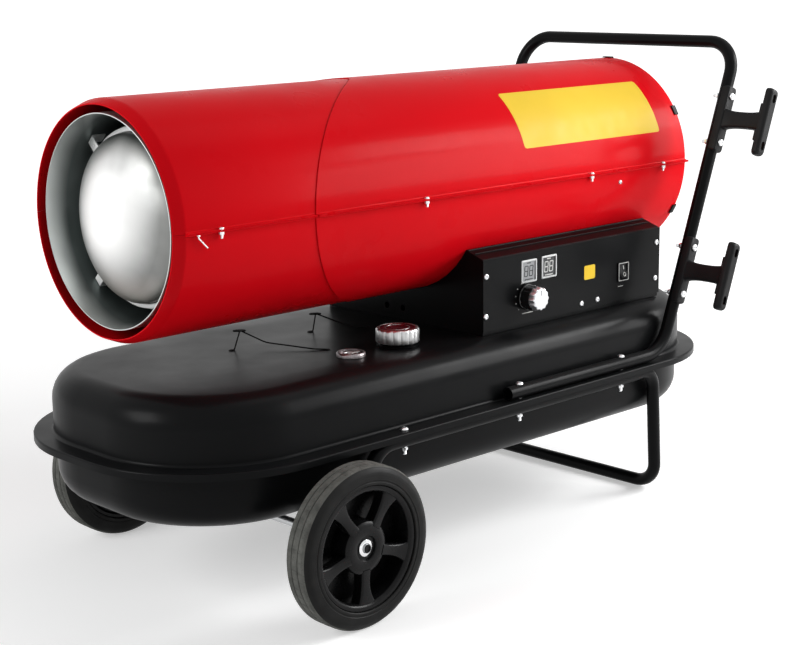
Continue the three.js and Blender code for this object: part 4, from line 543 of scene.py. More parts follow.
class Form:
    """Points and faces of a piece, in millimetres, before they become a mesh."""

    def __init__(self):
        self.points, self.faces, self.looks = [], [], []

    def rings(self, rows, caps=True, loop=False, look=0):
        """A skin over rows of equally many points. loop joins the last row to the first."""
        base, count = len(self.points), len(rows[0])
        self.points += [Vector(p) for row in rows for p in row]
        pairs = [(r, r + 1) for r in range(len(rows) - 1)] + ([(len(rows) - 1, 0)] if loop else [])
        for a, b in pairs:
            for i in range(count):
                j = (i + 1) % count
                self.face([base + a * count + i, base + a * count + j, base + b * count + j,
                           base + b * count + i], look)
        if caps and not loop:
            self.face([base + i for i in reversed(range(count))], look)
            self.face([base + (len(rows) - 1) * count + i for i in range(count)], look)
        return self

    def face(self, corners, look):
        self.faces.append(corners)
        self.looks.append(look)

    def turned(self, axis, profile, sides, centre=(0, 0, 0), loop=False):
        """A turned piece from (along, radius) pairs; loop closes the profile on itself."""
        rows = []
        for along, radius in profile:
            row = []
            for k in range(sides):
                angle = 2 * math.pi * k / sides
                c, s = radius * math.cos(angle), radius * math.sin(angle)
                row.append({"X": (along, c, s), "Y": (s, along, c), "Z": (c, s, along)}[axis])
            rows.append([Vector(p) + Vector(centre) for p in row])
        return self.rings(rows, caps=False, loop=loop)

    def swept(self, path, radius, sides, bore=0.0):
        """A round bar or tube along a path of points."""
        path = [Vector(p) for p in path]
        tangents = []
        for i in range(len(path)):
            step = path[min(i + 1, len(path) - 1)] - path[max(i - 1, 0)]
            tangents.append(step.normalized())
        side = tangents[0].orthogonal().normalized()
        frames = []
        for tangent in tangents:
            side = (side - tangent * side.dot(tangent)).normalized()
            frames.append((side.copy(), tangent.cross(side)))

        def ring(i, reach):
            return [path[i] + frames[i][0] * reach * math.cos(2 * math.pi * k / sides)
                    + frames[i][1] * reach * math.sin(2 * math.pi * k / sides)
                    for k in range(sides)]

        rows = [ring(i, radius) for i in range(len(path))]
        if bore:
            rows += [ring(i, bore) for i in reversed(range(len(path)))]
        return self.rings(rows, caps=not bore, loop=bool(bore))

    def prism(self, outline, axis, start, end, edge=0.0, look=0):
        """An outline run along an axis, its two ends eased by a small edge."""
        flat = [Vector(p) for p in outline]
        middle = sum(flat, Vector((0, 0))) / len(flat)
        levels = [(start, edge), (start + edge, 0), (end - edge, 0), (end, edge)] if edge else [
            (start, 0), (end, 0)]
        rows = []
        for along, inset in levels:
            row = []
            for p in flat:
                away = (p - middle)
                q = p - away.normalized() * inset if away.length > inset else p
                spots = {"X": (along, q.x, q.y), "Y": (q.x, along, q.y), "Z": (q.x, q.y, along)}
                row.append(spots[axis])
            rows.append(row)
        return self.rings(rows, look=look)

    def block(self, low, high, edge, look=0):
        """A box with eased edges."""
        (x1, y1, z1), (x2, y2, z2) = low, high
        outline = eased([(x1, z1), (x2, z1), (x2, z2), (x1, z2)], edge, 2)
        return self.prism(outline, "Y", y1, y2, edge * 0.5, look)

    def joined(self, other, matrix=None):
        """Another form's points and faces, moved by a matrix."""
        base = len(self.points)
        self.points += [(matrix @ p) if matrix else p.copy() for p in other.points]
        self.faces += [[base + i for i in face] for face in other.faces]
        self.looks += other.looks
        return self


def rounded_box(x1, x2, z1, z2, radius, steps=4):
    return eased([(x1, z1), (x2, z1), (x2, z2), (x1, z2)], radius, steps)


def mesh_of(name, form, looks, smooth=35.0, move=True):
    """The form as a mesh object in the frame, with doubles merged and faces outwards."""
    mesh = bpy.data.meshes.new(name)
    points = [placed(p) if move else p * 0.001 for p in form.points]
    mesh.from_pydata(points, [], form.faces)
    for polygon, look in zip(mesh.polygons, form.looks):
        polygon.material_index = look
    for look in looks:
        mesh.materials.append(finish(look))
    tidy(mesh, smooth)
    made = bpy.data.objects.new(name, mesh)
    bpy.context.scene.collection.objects.link(made)
    return made


def turned_mesh(name, look, axis, profile, sides, centre, loop=False, smooth=35.0):
    """A turned piece of one finish as a mesh object."""
    return mesh_of(name, Form().turned(axis, profile, sides, centre, loop), [look], smooth)


def tidy(mesh, smooth):
    """Doubles merged, faces outwards, smooth shading with sharp edges."""
    work = bmesh.new()
    work.from_mesh(mesh)
    bmesh.ops.remove_doubles(work, verts=work.verts, dist=1e-6)
    bmesh.ops.dissolve_degenerate(work, edges=work.edges, dist=1e-7)
    bmesh.ops.recalc_face_normals(work, faces=work.faces)
    work.to_mesh(mesh)
    work.free()
    mesh.shade_smooth()
    mesh.set_sharp_from_angle(angle=math.radians(smooth))


def settled(made):
    """The object with its modifiers turned into plain mesh."""
    bpy.context.view_layer.update()
    graph = bpy.context.evaluated_depsgraph_get()
    mesh = bpy.data.meshes.new_from_object(made.evaluated_get(graph))
    made.modifiers.clear()
    old = made.data
    made.data = mesh
    mesh.name = made.name
    bpy.data.meshes.remove(old)
    return made


def bevelled(made, width):
    """Edges eased by a small width, in millimetres."""
    bevel = made.modifiers.new("edges", "BEVEL")
    bevel.width = width / 1000
    bevel.segments = 2
    bevel.limit_method = "ANGLE"
    bevel.angle_limit = math.radians(40)
    bevel.harden_normals = True
    return settled(made)


def cut_out(made, cutter):
    """The object with the cutter's volume taken away; the cutter is removed."""
    cut = made.modifiers.new("cut", "BOOLEAN")
    cut.operation = "DIFFERENCE"
    cut.solver = "EXACT"
    cut.object = cutter
    settled(made)
    bpy.data.objects.remove(cutter)
    made.data.shade_smooth()
    made.data.set_sharp_from_angle(angle=math.radians(35))
    return made


def copied(node, name, look, width):
    """A CAD node's shape with merged faces and eased edges, as a piece of its own."""
    mesh = frame["nodes"][node].data.copy()
    mesh.materials.clear()
    mesh.materials.append(finish(look))
    work = bmesh.new()
    work.from_mesh(mesh)
    bmesh.ops.remove_doubles(work, verts=work.verts, dist=2e-6)
    bmesh.ops.dissolve_limit(work, angle_limit=math.radians(2), verts=work.verts, edges=work.edges)
    work.to_mesh(mesh)
    work.free()
    mesh.shade_smooth()
    mesh.set_sharp_from_angle(angle=math.radians(35))
    made = bpy.data.objects.new(name, mesh)
    bpy.context.scene.collection.objects.link(made)
    return bevelled(made, width)


def finished(made, body, slot, *nodes):
    """The piece rides on its body and stands for its CAD nodes, which it hides; slot is not used."""
    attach(made, body)
    if nodes:
        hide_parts(*nodes)
    return made


def eased_copy(node, name, look, width, body, slot):
    """A CAD node that keeps its form, with its edges eased and a finish."""
    return finished(copied(node, name, look, width), body, slot, node)


# ------------------------------------------------------------------ node trees for repeated pieces


def tree_with(name, *inputs):
    """A geometry tree with its group input and output and these named inputs."""
    tree = bpy.data.node_groups.new(name, "GeometryNodeTree")
    tree.interface.new_socket("Geometry", in_out="INPUT", socket_type="NodeSocketGeometry")
    for label, kind, default in inputs:
        made = tree.interface.new_socket(label, in_out="INPUT", socket_type=kind)
        if default is not None:
            made.default_value = default
    tree.interface.new_socket("Geometry", in_out="OUTPUT", socket_type="NodeSocketGeometry")
    return tree, tree.nodes.new("NodeGroupInput"), tree.nodes.new("NodeGroupOutput")


def ending(tree, instances, material, output):
    """Realize Instances and Set Material close every tree."""
    real = tree.nodes.new("GeometryNodeRealizeInstances")
    paint = tree.nodes.new("GeometryNodeSetMaterial")
    tree.links.new(instances, real.inputs["Geometry"])
    tree.links.new(real.outputs["Geometry"], paint.inputs["Geometry"])
    tree.links.new(material, paint.inputs["Material"])
    tree.links.new(paint.outputs["Geometry"], output.inputs["Geometry"])


def wired(tree, lines):
    """Links given as node, its output, the next node and its input."""
    for giver, given, taker, taken in lines:
        tree.links.new(giver.outputs[given], taker.inputs[taken])


def ring_tree():
    """Copies of one piece at equal steps round an axis through the origin."""
    tree, source, output = tree_with(
        "copies_round_axis", ("Piece", "NodeSocketObject", None), ("Count", "NodeSocketInt", 5),
        ("Axis", "NodeSocketVector", (1, 0, 0)), ("First Angle", "NodeSocketFloat", 0.0),
        ("Centre", "NodeSocketVector", (0, 0, 0)), ("Material", "NodeSocketMaterial", None))
    add = tree.nodes.new
    points = add("GeometryNodePoints")
    info = add("GeometryNodeObjectInfo")
    index = add("GeometryNodeInputIndex")
    step = add("ShaderNodeMath")
    step.operation = "DIVIDE"
    step.inputs[0].default_value = 2 * math.pi
    angle = add("ShaderNodeMath")
    angle.operation = "MULTIPLY_ADD"
    turn = add("ShaderNodeVectorMath")
    turn.operation = "SCALE"
    place = add("GeometryNodeInstanceOnPoints")
    wired(tree, (
        (source, "Count", points, "Count"),
        (source, "Centre", points, "Position"),
        (source, "Piece", info, "Object"),
        (source, "Count", step, 1),
        (index, "Index", angle, 0),
        (step, "Value", angle, 1),
        (source, "First Angle", angle, 2),
        (source, "Axis", turn, 0),
        (angle, "Value", turn, "Scale"),
        (points, "Points", place, "Points"),
        (info, "Geometry", place, "Instance"),
        (turn, "Vector", place, "Rotation"),
    ))
    ending(tree, place.outputs["Instances"], source.outputs["Material"], output)
    return tree


def scatter_tree():
    """A copy of one piece on each point, turned as the point says and spun at random."""
    tree, source, output = tree_with(
        "copies_on_points", ("Piece", "NodeSocketObject", None), ("Size", "NodeSocketFloat", 1.0),
        ("Seed", "NodeSocketInt", 7), ("Material", "NodeSocketMaterial", None))
    add = tree.nodes.new
    info = add("GeometryNodeObjectInfo")
    turn = add("GeometryNodeInputNamedAttribute")
    turn.data_type = "FLOAT_VECTOR"
    turn.inputs["Name"].default_value = "turn"
    place = add("GeometryNodeInstanceOnPoints")
    spin = add("GeometryNodeRotateInstances")
    chance = add("FunctionNodeRandomValue")
    chance.data_type = "FLOAT"
    chance.inputs[3].default_value = math.pi
    about = add("ShaderNodeCombineXYZ")
    wired(tree, (
        (source, "Geometry", place, "Points"),
        (source, "Piece", info, "Object"),
        (info, "Geometry", place, "Instance"),
        (turn, 0, place, "Rotation"),
        (source, "Size", place, "Scale"),
        (source, "Seed", chance, "Seed"),
        (chance, 1, about, "Z"),
        (place, "Instances", spin, "Instances"),
        (about, "Vector", spin, "Rotation"),
    ))
    ending(tree, spin.outputs["Instances"], source.outputs["Material"], output)
    return tree


def guard_tree():
    """Concentric wire rings about the X axis."""
    tree, source, output = tree_with(
        "wire_rings", ("Rings", "NodeSocketInt", 4), ("First Radius", "NodeSocketFloat", 0.05),
        ("Step", "NodeSocketFloat", 0.03), ("Wire", "NodeSocketFloat", 0.003),
        ("Centre", "NodeSocketVector", (0, 0, 0)), ("Material", "NodeSocketMaterial", None))
    add = tree.nodes.new
    points = add("GeometryNodePoints")
    index = add("GeometryNodeInputIndex")
    radius = add("ShaderNodeMath")
    radius.operation = "MULTIPLY_ADD"
    circle = add("GeometryNodeCurvePrimitiveCircle")
    circle.inputs["Resolution"].default_value = 96
    circle.inputs["Radius"].default_value = 1.0
    place = add("GeometryNodeInstanceOnPoints")
    place.inputs["Rotation"].default_value = (0, math.pi / 2, 0)
    real = add("GeometryNodeRealizeInstances")
    wire = add("GeometryNodeCurvePrimitiveCircle")
    wire.inputs["Resolution"].default_value = 12
    half = add("ShaderNodeMath")
    half.operation = "MULTIPLY"
    half.inputs[1].default_value = 0.5
    skin = add("GeometryNodeCurveToMesh")
    wired(tree, (
        (source, "Rings", points, "Count"),
        (source, "Centre", points, "Position"),
        (index, "Index", radius, 0),
        (source, "Step", radius, 1),
        (source, "First Radius", radius, 2),
        (points, "Points", place, "Points"),
        (circle, "Curve", place, "Instance"),
        (radius, "Value", place, "Scale"),
        (place, "Instances", real, "Geometry"),
        (source, "Wire", half, 0),
        (half, "Value", wire, "Radius"),
        (real, "Geometry", skin, "Curve"),
        (wire, "Curve", skin, "Profile Curve"),
    ))
    ending(tree, skin.outputs["Mesh"], source.outputs["Material"], output)
    return tree


TREES = {}


def grown(name, maker, points, **values):
    """The mesh object that a node tree makes from points and named values."""
    if maker.__name__ not in TREES:
        TREES[maker.__name__] = maker()
    tree = TREES[maker.__name__]
    mesh = bpy.data.meshes.new(name)
    mesh.from_pydata([place for place, turn in points], [], [])
    if points:
        turns = mesh.attributes.new("turn", "FLOAT_VECTOR", "POINT")
        for i, (place, turn) in enumerate(points):
            turns.data[i].vector = turn
    made = bpy.data.objects.new(name, mesh)
    bpy.context.scene.collection.objects.link(made)
    nodes = made.modifiers.new("copies", "NODES")
    nodes.node_group = tree
    keys = {item.name: item.identifier for item in tree.interface.items_tree
            if item.item_type == "SOCKET" and item.in_out == "INPUT"}
    for label, value in values.items():
        nodes[keys[label.replace("_", " ")]] = value
    settled(made)
    if "turn" in made.data.attributes:
        made.data.attributes.remove(made.data.attributes["turn"])
    tidy(made.data, 35)
    return made


def copies_round(name, form, look, count, axis, centre, first=0.0, smooth=35.0):
    """A form drawn about an axis at the origin, copied round it and put at its centre."""
    seed = mesh_of(name + "_one", form, [look], smooth, move=False)
    made = grown(name, ring_tree, [], Piece=seed, Count=count, Axis=axis, First_Angle=first,
                 Centre=placed(centre), Material=finish(look))
    bpy.data.objects.remove(seed)
    return made


def merged(name, *parts):
    """Several objects of one body as one piece."""
    work = bmesh.new()
    looks = []
    for part in parts:
        start = len(work.faces)
        work.from_mesh(part.data)
        work.faces.ensure_lookup_table()
        for face in work.faces[start:]:
            own = part.data.materials[face.material_index] if part.data.materials else None
            if own not in looks:
                looks.append(own)
            face.material_index = looks.index(own)
    mesh = bpy.data.meshes.new(name)
    work.to_mesh(mesh)
    work.free()
    for look in looks:
        mesh.materials.append(look)
    for part in parts:
        bpy.data.objects.remove(part)
    made = bpy.data.objects.new(name, mesh)
    bpy.context.scene.collection.objects.link(made)
    mesh.shade_smooth()
    mesh.set_sharp_from_angle(angle=math.radians(35))
    return made


# ------------------------------------------------------------------ pieces that repeat


def pan_screw(name, look, head, shank=4.0, length=9.0, nut=0.0):
    """A pan head with a cross recess over its shank, drawn upwards from the seat at the origin."""
    r, s, height = head / 2, shank / 2, 2.6
    profile = [(height, 0), (height, r * 0.35), (height * 0.93, r * 0.62), (height * 0.72, r * 0.86),
               (height * 0.35, r * 0.99), (0, r), (0, s)]
    if nut:
        profile += [(-nut, s), (-nut, s * 1.8), (-nut - 3.4, s * 1.8), (-nut - 3.4, s)]
    steps = 5
    low = -length if not nut else -nut - 3.4 - (length - nut)
    start = profile[-1][0]
    for k in range(steps):
        z = start + (low - start) * (k + 0.3) / steps
        profile += [(z, s), (z + (low - start) * 0.25 / steps, s * 0.86)]
    profile += [(low, s * 0.8), (low, 0)]
    screw = mesh_of(name, Form().turned("Z", profile, 20), [look], move=False)
    arm, wide = r * 0.58, r * 0.15
    for x, y in ((arm, wide), (wide, arm)):
        slot = Form().block((-x, -y, height * 0.35), (x, y, height * 2), 0.05)
        cut_out(screw, mesh_of(name + "_cut", slot, [look], move=False))
    return screw


def machine_bolt(name, look, grip):
    """A domed bolt with its washer, hexagon nut and thread end; the seat is at the origin."""
    r = 5.75
    profile = [(3.6, 0), (3.6, r * 0.4), (3.3, r * 0.68), (2.5, r * 0.88), (1.2, r * 0.99), (0.3, r),
               (0, r * 0.98), (0, 3), (-grip, 3), (-grip - 4, 3)]
    for k in range(6):
        z = -grip - 4 - k
        profile += [(z - 0.2, 2.95), (z - 0.6, 2.6)]
    profile += [(-grip - 10, 2.4), (-grip - 10, 0)]
    form = Form().turned("Z", profile, 24)
    nut = [(-grip, 3.05), (-grip, 4.2), (-grip - 0.5, 4.7), (-grip - 3.5, 4.7), (-grip - 4, 4.2),
           (-grip - 4, 3.05)]
    form.turned("Z", nut, 6, loop=True)
    bolt = mesh_of(name, form, [look], 30, move=False)
    socket = Form().prism([(2.0 * math.cos(k * math.pi / 3), 2.0 * math.sin(k * math.pi / 3))
                           for k in range(6)], "Z", 1.6, 8)
    return cut_out(bolt, mesh_of(name + "_cut", socket, [look], move=False))


def planted(name, seed, look, spots):
    """Copies of a seed object on (place in mm, turn) spots; the seed is removed."""
    made = grown(name, scatter_tree, [(placed(place), turn) for place, turn in spots], Piece=seed,
                 Size=1.0, Seed=7, Material=finish(look))
    bpy.data.objects.remove(seed)
    return made


# ------------------------------------------------------------------ barrel


def seam_x(y):
    """The curved joint line of the barrel: further back towards the top and bottom."""
    share = min(abs(y) / REAR_RADIUS, 1)
    return 35 + 225 * (math.hypot(1, 0.1) - math.hypot(share, 0.1))


def half_shell(side, stations):
    """Half of a round shell. stations(y share) gives its loop of (x, radius) pairs."""
    rows, steps = [], 56
    gap = math.asin(0.15 / FRONT_RADIUS)
    for k in range(steps + 1):
        angle = gap + (math.pi - 2 * gap) * k / steps
        c, s = math.cos(angle), math.sin(angle)
        rows.append([(x, r * c, BARREL_Z + side * r * s) for x, r in stations(c)])
    return Form().rings(rows)


def lip(side, hand, radius, x1, x2):
    """A bent-out lip along one side, with its fold rounded into the shell."""
    outline = [(radius - 1, 0.15), (radius + 6.6, 0.15), (radius + 7, 0.5), (radius + 7, 1.2),
               (radius + 6.6, 1.55), (radius + 2.4, 1.55), (radius + 1.2, 1.8), (radius + 0.4, 2.5),
               (radius - 0.1, 3.6), (radius - 1, 3.6)]
    return Form().prism([(hand * y, BARREL_Z + side * z) for y, z in outline], "X", x1, x2)


class HEATER_OT_barrel(bpy.types.Operator):
    """Red barrel shells with their bent lips, and the tongue that joins front and rear"""

    bl_idname = "heater.barrel"
    bl_label = "Barrel Shells"

    def execute(self, context):
        def front(c):
            r, end = FRONT_RADIUS, seam_x(c * FRONT_RADIUS) - 0.8
            return [(BARREL_FRONT, 151.6), (BARREL_FRONT, 152.9), (BARREL_FRONT + 0.5, 153.4),
                    (-176.5, 158.4), (-174.3, 159.3), (-171.5, r), (end - 0.4, r), (end, r - 0.4),
                    (end, r - PLATE), (-174.3, r - PLATE), (BARREL_FRONT + 0.4, 151.4)]

        def tongue(c):
            line = seam_x(c * FRONT_RADIUS)
            return [(line - 9, 158.7), (line + 9, 158.7), (line + 9, 156.7), (line - 9, 156.7)]

        def rear(c):
            r, start = REAR_RADIUS, seam_x(c * REAR_RADIUS) + 0.8
            return [(start, r - PLATE), (start, r - 0.5), (start + 0.5, r), (BARREL_REAR - 0.5, r),
                    (BARREL_REAR, r - 0.5), (BARREL_REAR, r - PLATE)]

        for side, word in ((1, "upper"), (-1, "lower")):
            shell = half_shell(side, front)
            shell.joined(half_shell(side, tongue))
            for hand in (1, -1):
                shell.joined(lip(side, hand, FRONT_RADIUS, -174.3, 34))
            made = mesh_of(f"front_{word}_shell", shell, ["red_enamel"])
            finished(made, "heater", "red_paint", f"barrel_front_{word}")
            shell = half_shell(side, rear)
            for hand in (1, -1):
                shell.joined(lip(side, hand, REAR_RADIUS, 36, BARREL_REAR))
            made = mesh_of(f"rear_{word}_shell", shell, ["red_enamel"])
            finished(made, "heater", "red_paint", f"barrel_rear_{word}")
        return {"FINISHED"}


class HEATER_OT_lip_screws(bpy.types.Operator):
    """Small cross-recess screws along the barrel's lips and on its lower rear shell"""

    bl_idname = "heater.lip_screws"
    bl_label = "Lip Screws"

    def execute(self, context):
        head = sizes().screw_head * 1000
        spots = [((x, hand * (radius + 4.2), BARREL_Z + 1.6), (0, 0, 0))
                 for x, radius in ((-122.5, FRONT_RADIUS), (236.2, REAR_RADIUS), (592.4, REAR_RADIUS),
                                   (769.7, REAR_RADIUS)) for hand in (1, -1)]
        made = planted("lip_screws", pan_screw("one", "zinc", head * 0.86, nut=3.3, length=8.5), "zinc",
                       spots)
        finished(made, "heater", "zinc")
        drop = BARREL_Z - 508.5
        tilt = math.asin(drop / REAR_RADIUS)
        out = REAR_RADIUS + 0.1
        spots = [((667, -out * math.cos(tilt), BARREL_Z - out * math.sin(tilt)),
                  (math.pi / 2 + tilt, 0, 0))]
        made = planted("shell_screw", pan_screw("one", "zinc", head * 0.86, length=7), "zinc", spots)
        finished(made, "heater", "zinc")
        form = Form()
        path = eased([(-158, -163.5, 525.8), (-157.5, -163.5, 521), (-143, -161.2, 507.5)], 3, 5, False)
        form.swept(path, 1.1, 12)
        form.turned("Z", [(525.8, 0), (525.8, 2.2), (524.2, 2.4), (523.6, 1.6), (523.6, 0)], 16,
                    (-158, -163.5, 0))
        finished(mesh_of("bent_pin", form, ["zinc"]), "heater", "zinc")
        return {"FINISHED"}


class HEATER_OT_label_sheet(bpy.types.Operator):
    """Plain yellow sheet on the barrel's upper rear shell, with nothing printed on it"""

    bl_idname = "heater.label_sheet"
    bl_label = "Plain Sheet"

    def execute(self, context):
        low, high, x1, x2, corner = 18.5, 53.0, 453.0, 775.0, 5.0
        rows, steps = [], 40
        span = math.radians(high - low) * REAR_RADIUS
        for k in range(steps + 1):
            share = k / steps
            share = 0.5 - 0.5 * math.cos(math.pi * share)
            edge = min(share, 1 - share) * span
            inset = 0
            if edge < corner:
                inset = corner - math.sqrt(max(corner ** 2 - (corner - edge) ** 2, 0))
            angle = math.radians(low + (high - low) * share)
            c, s = -math.cos(angle), math.sin(angle)
            loop = [(x, r) for r in (REAR_RADIUS + 0.02, REAR_RADIUS + 0.22)
                    for x in (x1 + inset, x2 - inset)]
            loop = [loop[0], loop[1], loop[3], loop[2]]
            rows.append([(x, r * c, BARREL_Z + r * s) for x, r in loop])
        made = mesh_of("plain_sheet", Form().rings(rows), ["sheet"])
        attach(made, "heater")
        return {"FINISHED"}


# ------------------------------------------------------------------ outlet and guard


def ring_leg(r1, r2, length, width):
    """A folded strip from the ring out to the chamber, turned back along X, with its rivet."""
    strip = 1.6
    path = [(0, r1), (0, r2), (length, r2), (length, r2 - strip), (strip, r2 - strip), (strip, r1)]
    rounded = eased(path, [0.3, 2.4, 0.3, 0.3, 0.9, 0.3])
    form = Form().prism([(p.x, p.y) for p in rounded], "Z", -width / 2, width / 2, 0.2)
    rivet = [(-1.2, 0), (-1.2, 1.2), (-0.8, 1.9), (0.1, 2.3), (0.2, 0)]
    return form.turned("X", rivet, 14, (0, (r1 + r2) / 2, 0))


class HEATER_OT_outlet(bpy.types.Operator):
    """Combustion chamber, deflector ring on its folded legs, and the spun flame deflector"""

    bl_idname = "heater.outlet"
    bl_label = "Outlet"

    def execute(self, context):
        centre = (0, 0, BARREL_Z)
        wall = CHAMBER_RADIUS
        profile = [(-183, wall - 1.5), (-182.9, wall - 0.3), (-182.4, wall), (-176, wall),
                   (-174.6, wall - 0.5), (-173.2, wall - 0.5), (-171.8, wall), (284, wall),
                   (289, wall - 2), (298, wall - 11),
                   (300, wall - 15), (300, 45), (298.4, 45), (298.4, wall - 16), (284, wall - 1.6),
                   (-182.6, wall - 1.6)]
        parts = [turned_mesh("chamber_shell", "chamber_sheet", "X", profile, 112, centre, True)]
        for k, x in enumerate((-110, 20)):
            tab = Form()
            tab.block((0, wall - 1, -8), (20, wall + 15.6, 8), 1.0)
            parts.append(copies_round(f"stay_{k}", tab, "chamber_sheet", 3, (1, 0, 0), (x, 0, BARREL_Z),
                                      math.radians(30)))
        finished(merged("chamber", *parts), "heater", "silver_sheet", "combustion_chamber")

        band = [(-132.6, 113.0), (-133.8, 113.4), (-134, 114), (-134, 118.0), (-133.6, 118.9),
                (-132.8, 119.2), (-127.4, 119.2), (-127, 119.6), (-127, 120.6), (-126.6, 121),
                (-100.5, 121), (-100, 120.5),
                (-100, 119), (-125.5, 119), (-125.5, 117.7), (-132.6, 117.7)]
        ring = turned_mesh("ring_band", "bright_tab", "X", band, 112, centre, True)
        legs = copies_round("ring_legs", ring_leg(112.6, 138.6, 22, 14), "bright_tab", 4, (1, 0, 0),
                            (-136, 0, BARREL_Z), math.radians(45))
        finished(merged("outlet_ring", ring, legs), "heater", "silver_sheet", "deflector_ring")

        outer, inner = ([(-140 - rise * math.cos(a), reach * math.sin(a))
                         for a in (math.pi / 2 * k / 24 for k in range(25))]
                        for rise, reach in ((38, 112), (36.4, 110.4)))
        profile = outer + [(-133.2, 112), (-132.4, 111.8), (-132, 111.2), (-132.3, 110.4)] + inner[::-1]
        dome = turned_mesh("dome", "dome_steel", "X", profile, 112, centre, False, 50)
        finished(dome, "heater", "silver_sheet", "flame_deflector")
        return {"FINISHED"}


class HEATER_OT_guard(bpy.types.Operator):
    """Wire guard over the fan inlet, with its six clips over the barrel's rear edge"""

    bl_idname = "heater.guard"
    bl_label = "Rear Guard"

    def execute(self, context):
        wire = sizes().guard_wire
        x = GUARD_X
        inside = 159 * math.cos(math.pi / 40) - 0.3
        step = (inside - 3 - 15) / 4
        rings = grown("guard_rings", guard_tree, [], Rings=4, First_Radius=(15 + step + 1.5) / 1000,
                      Step=step / 1000, Wire=wire, Centre=placed((x, 0, BARREL_Z)),
                      Material=finish("black_coat"))
        spoke = Form().swept([(0, 13, 0), (0, inside - 2, 0)], wire * 500, 12)
        spokes = copies_round("guard_spokes", spoke, "black_coat", 6, (1, 0, 0), (x, 0, BARREL_Z),
                              math.radians(30))
        hub = Form().turned("X", [(-1.5, 0), (-1.5, 13.6), (-0.6, 15), (0.6, 15), (1.5, 13.6),
                                  (1.5, 0)], 48)
        clip = Form()
        outline = [(-2.6, 155), (9.1, 155), (9.1, 163.1), (-1.4, 163.1), (-1.4, 161.4), (7.1, 161.4),
                   (7.1, 157), (-2.6, 157)]
        path = eased([(p[0] - 0.5, p[1]) for p in outline], [0.4, 2, 2, 0.4, 0.4, 0.6, 0.6, 0.4], 3)
        clip.prism([(p.x, p.y) for p in path], "Z", -8, 8, 0.4)
        clips = copies_round("guard_clips", clip, "black_coat", 6, (1, 0, 0), (x, 0, BARREL_Z),
                             math.radians(30))
        disc = copies_round("guard_disc", hub, "black_coat", 1, (1, 0, 0), (x, 0, BARREL_Z))
        finished(merged("guard", rings, spokes, clips, disc), "heater", "black_paint", "rear_guard")
        return {"FINISHED"}


# ------------------------------------------------------------------ tank


def tank_line(inset, z):
    """The tank's plan outline at an inset from the flange edge."""
    radius, middle = TANK_CORNER - inset, TANK_HALF - TANK_CORNER
    out, steps = [], 16
    rear, front = TANK_REAR - TANK_CORNER, TANK_FRONT + TANK_CORNER
    for quarter, (x, y) in enumerate(((rear, middle), (front, middle), (front, -middle),
                                      (rear, -middle))):
        for k in range(steps + 1):
            angle = (quarter + k / steps) * math.pi / 2
            out.append((x + radius * math.cos(angle), y + radius * math.sin(angle), z))
    return out


def eased_profile(corners, radii, steps):
    return [(p.x, p.y) for p in eased([(a, b, 0) for a, b in corners], radii, steps, False)]


def drilled(made, *holes):
    """Round holes along Z through a piece: (x, y, diameter, z from, z to)."""
    for x, y, width, z1, z2 in holes:
        tool = Form().turned("Z", [(z1, 0), (z1, width / 2), (z2, width / 2), (z2, 0)], 40, (x, y, 0))
        cut_out(made, mesh_of("drill", tool, [made.data.materials[0].name]))
    return made


class HEATER_OT_tank(bpy.types.Operator):
    """Pressed tank shells with the rolled flange between them"""

    bl_idname = "heater.tank"
    bl_label = "Fuel Tank"

    def execute(self, context):
        outer = eased_profile([(0, 219.4), (0, FLANGE_Z), (27.6, FLANGE_Z), (27.6, DECK_Z),
                               (110, DECK_Z)], [0, 2.6, 4.5, 45.5, 0], 7)
        inner = eased_profile([(1.6, 219.4), (1.6, 227.8), (29.2, 227.8), (29.2, 313), (110, 313)],
                              [0, 1.0, 6.1, 43.9, 0], 7)
        rows = [tank_line(*pair) for pair in inner[::-1] + outer]
        upper = mesh_of("tank_upper", Form().rings(rows), ["black_coat"])
        drilled(upper, (*FILLER[:2], 54.6, 300, 330), (*GAUGE[:2], 24.6, 300, 330),
                (410, 45, 7.6, 300, 330))
        finished(upper, "heater", "black_paint", "tank_upper_shell")

        outer = eased_profile([(1.9, 227.5), (1.9, 225.9), (31, 225.9), (31, 139.2), (115, 139.2)],
                              [0, 0, 4, 48, 0], 7)
        inner = eased_profile([(32.6, 227.5), (32.6, 140.8), (115, 140.8)], [0, 46.4, 0], 7)
        rows = [tank_line(*pair) for pair in inner[::-1] + outer]
        lower = mesh_of("tank_lower", Form().rings(rows), ["black_coat"])
        finished(lower, "heater", "black_paint", "tank_lower_shell")
        return {"FINISHED"}


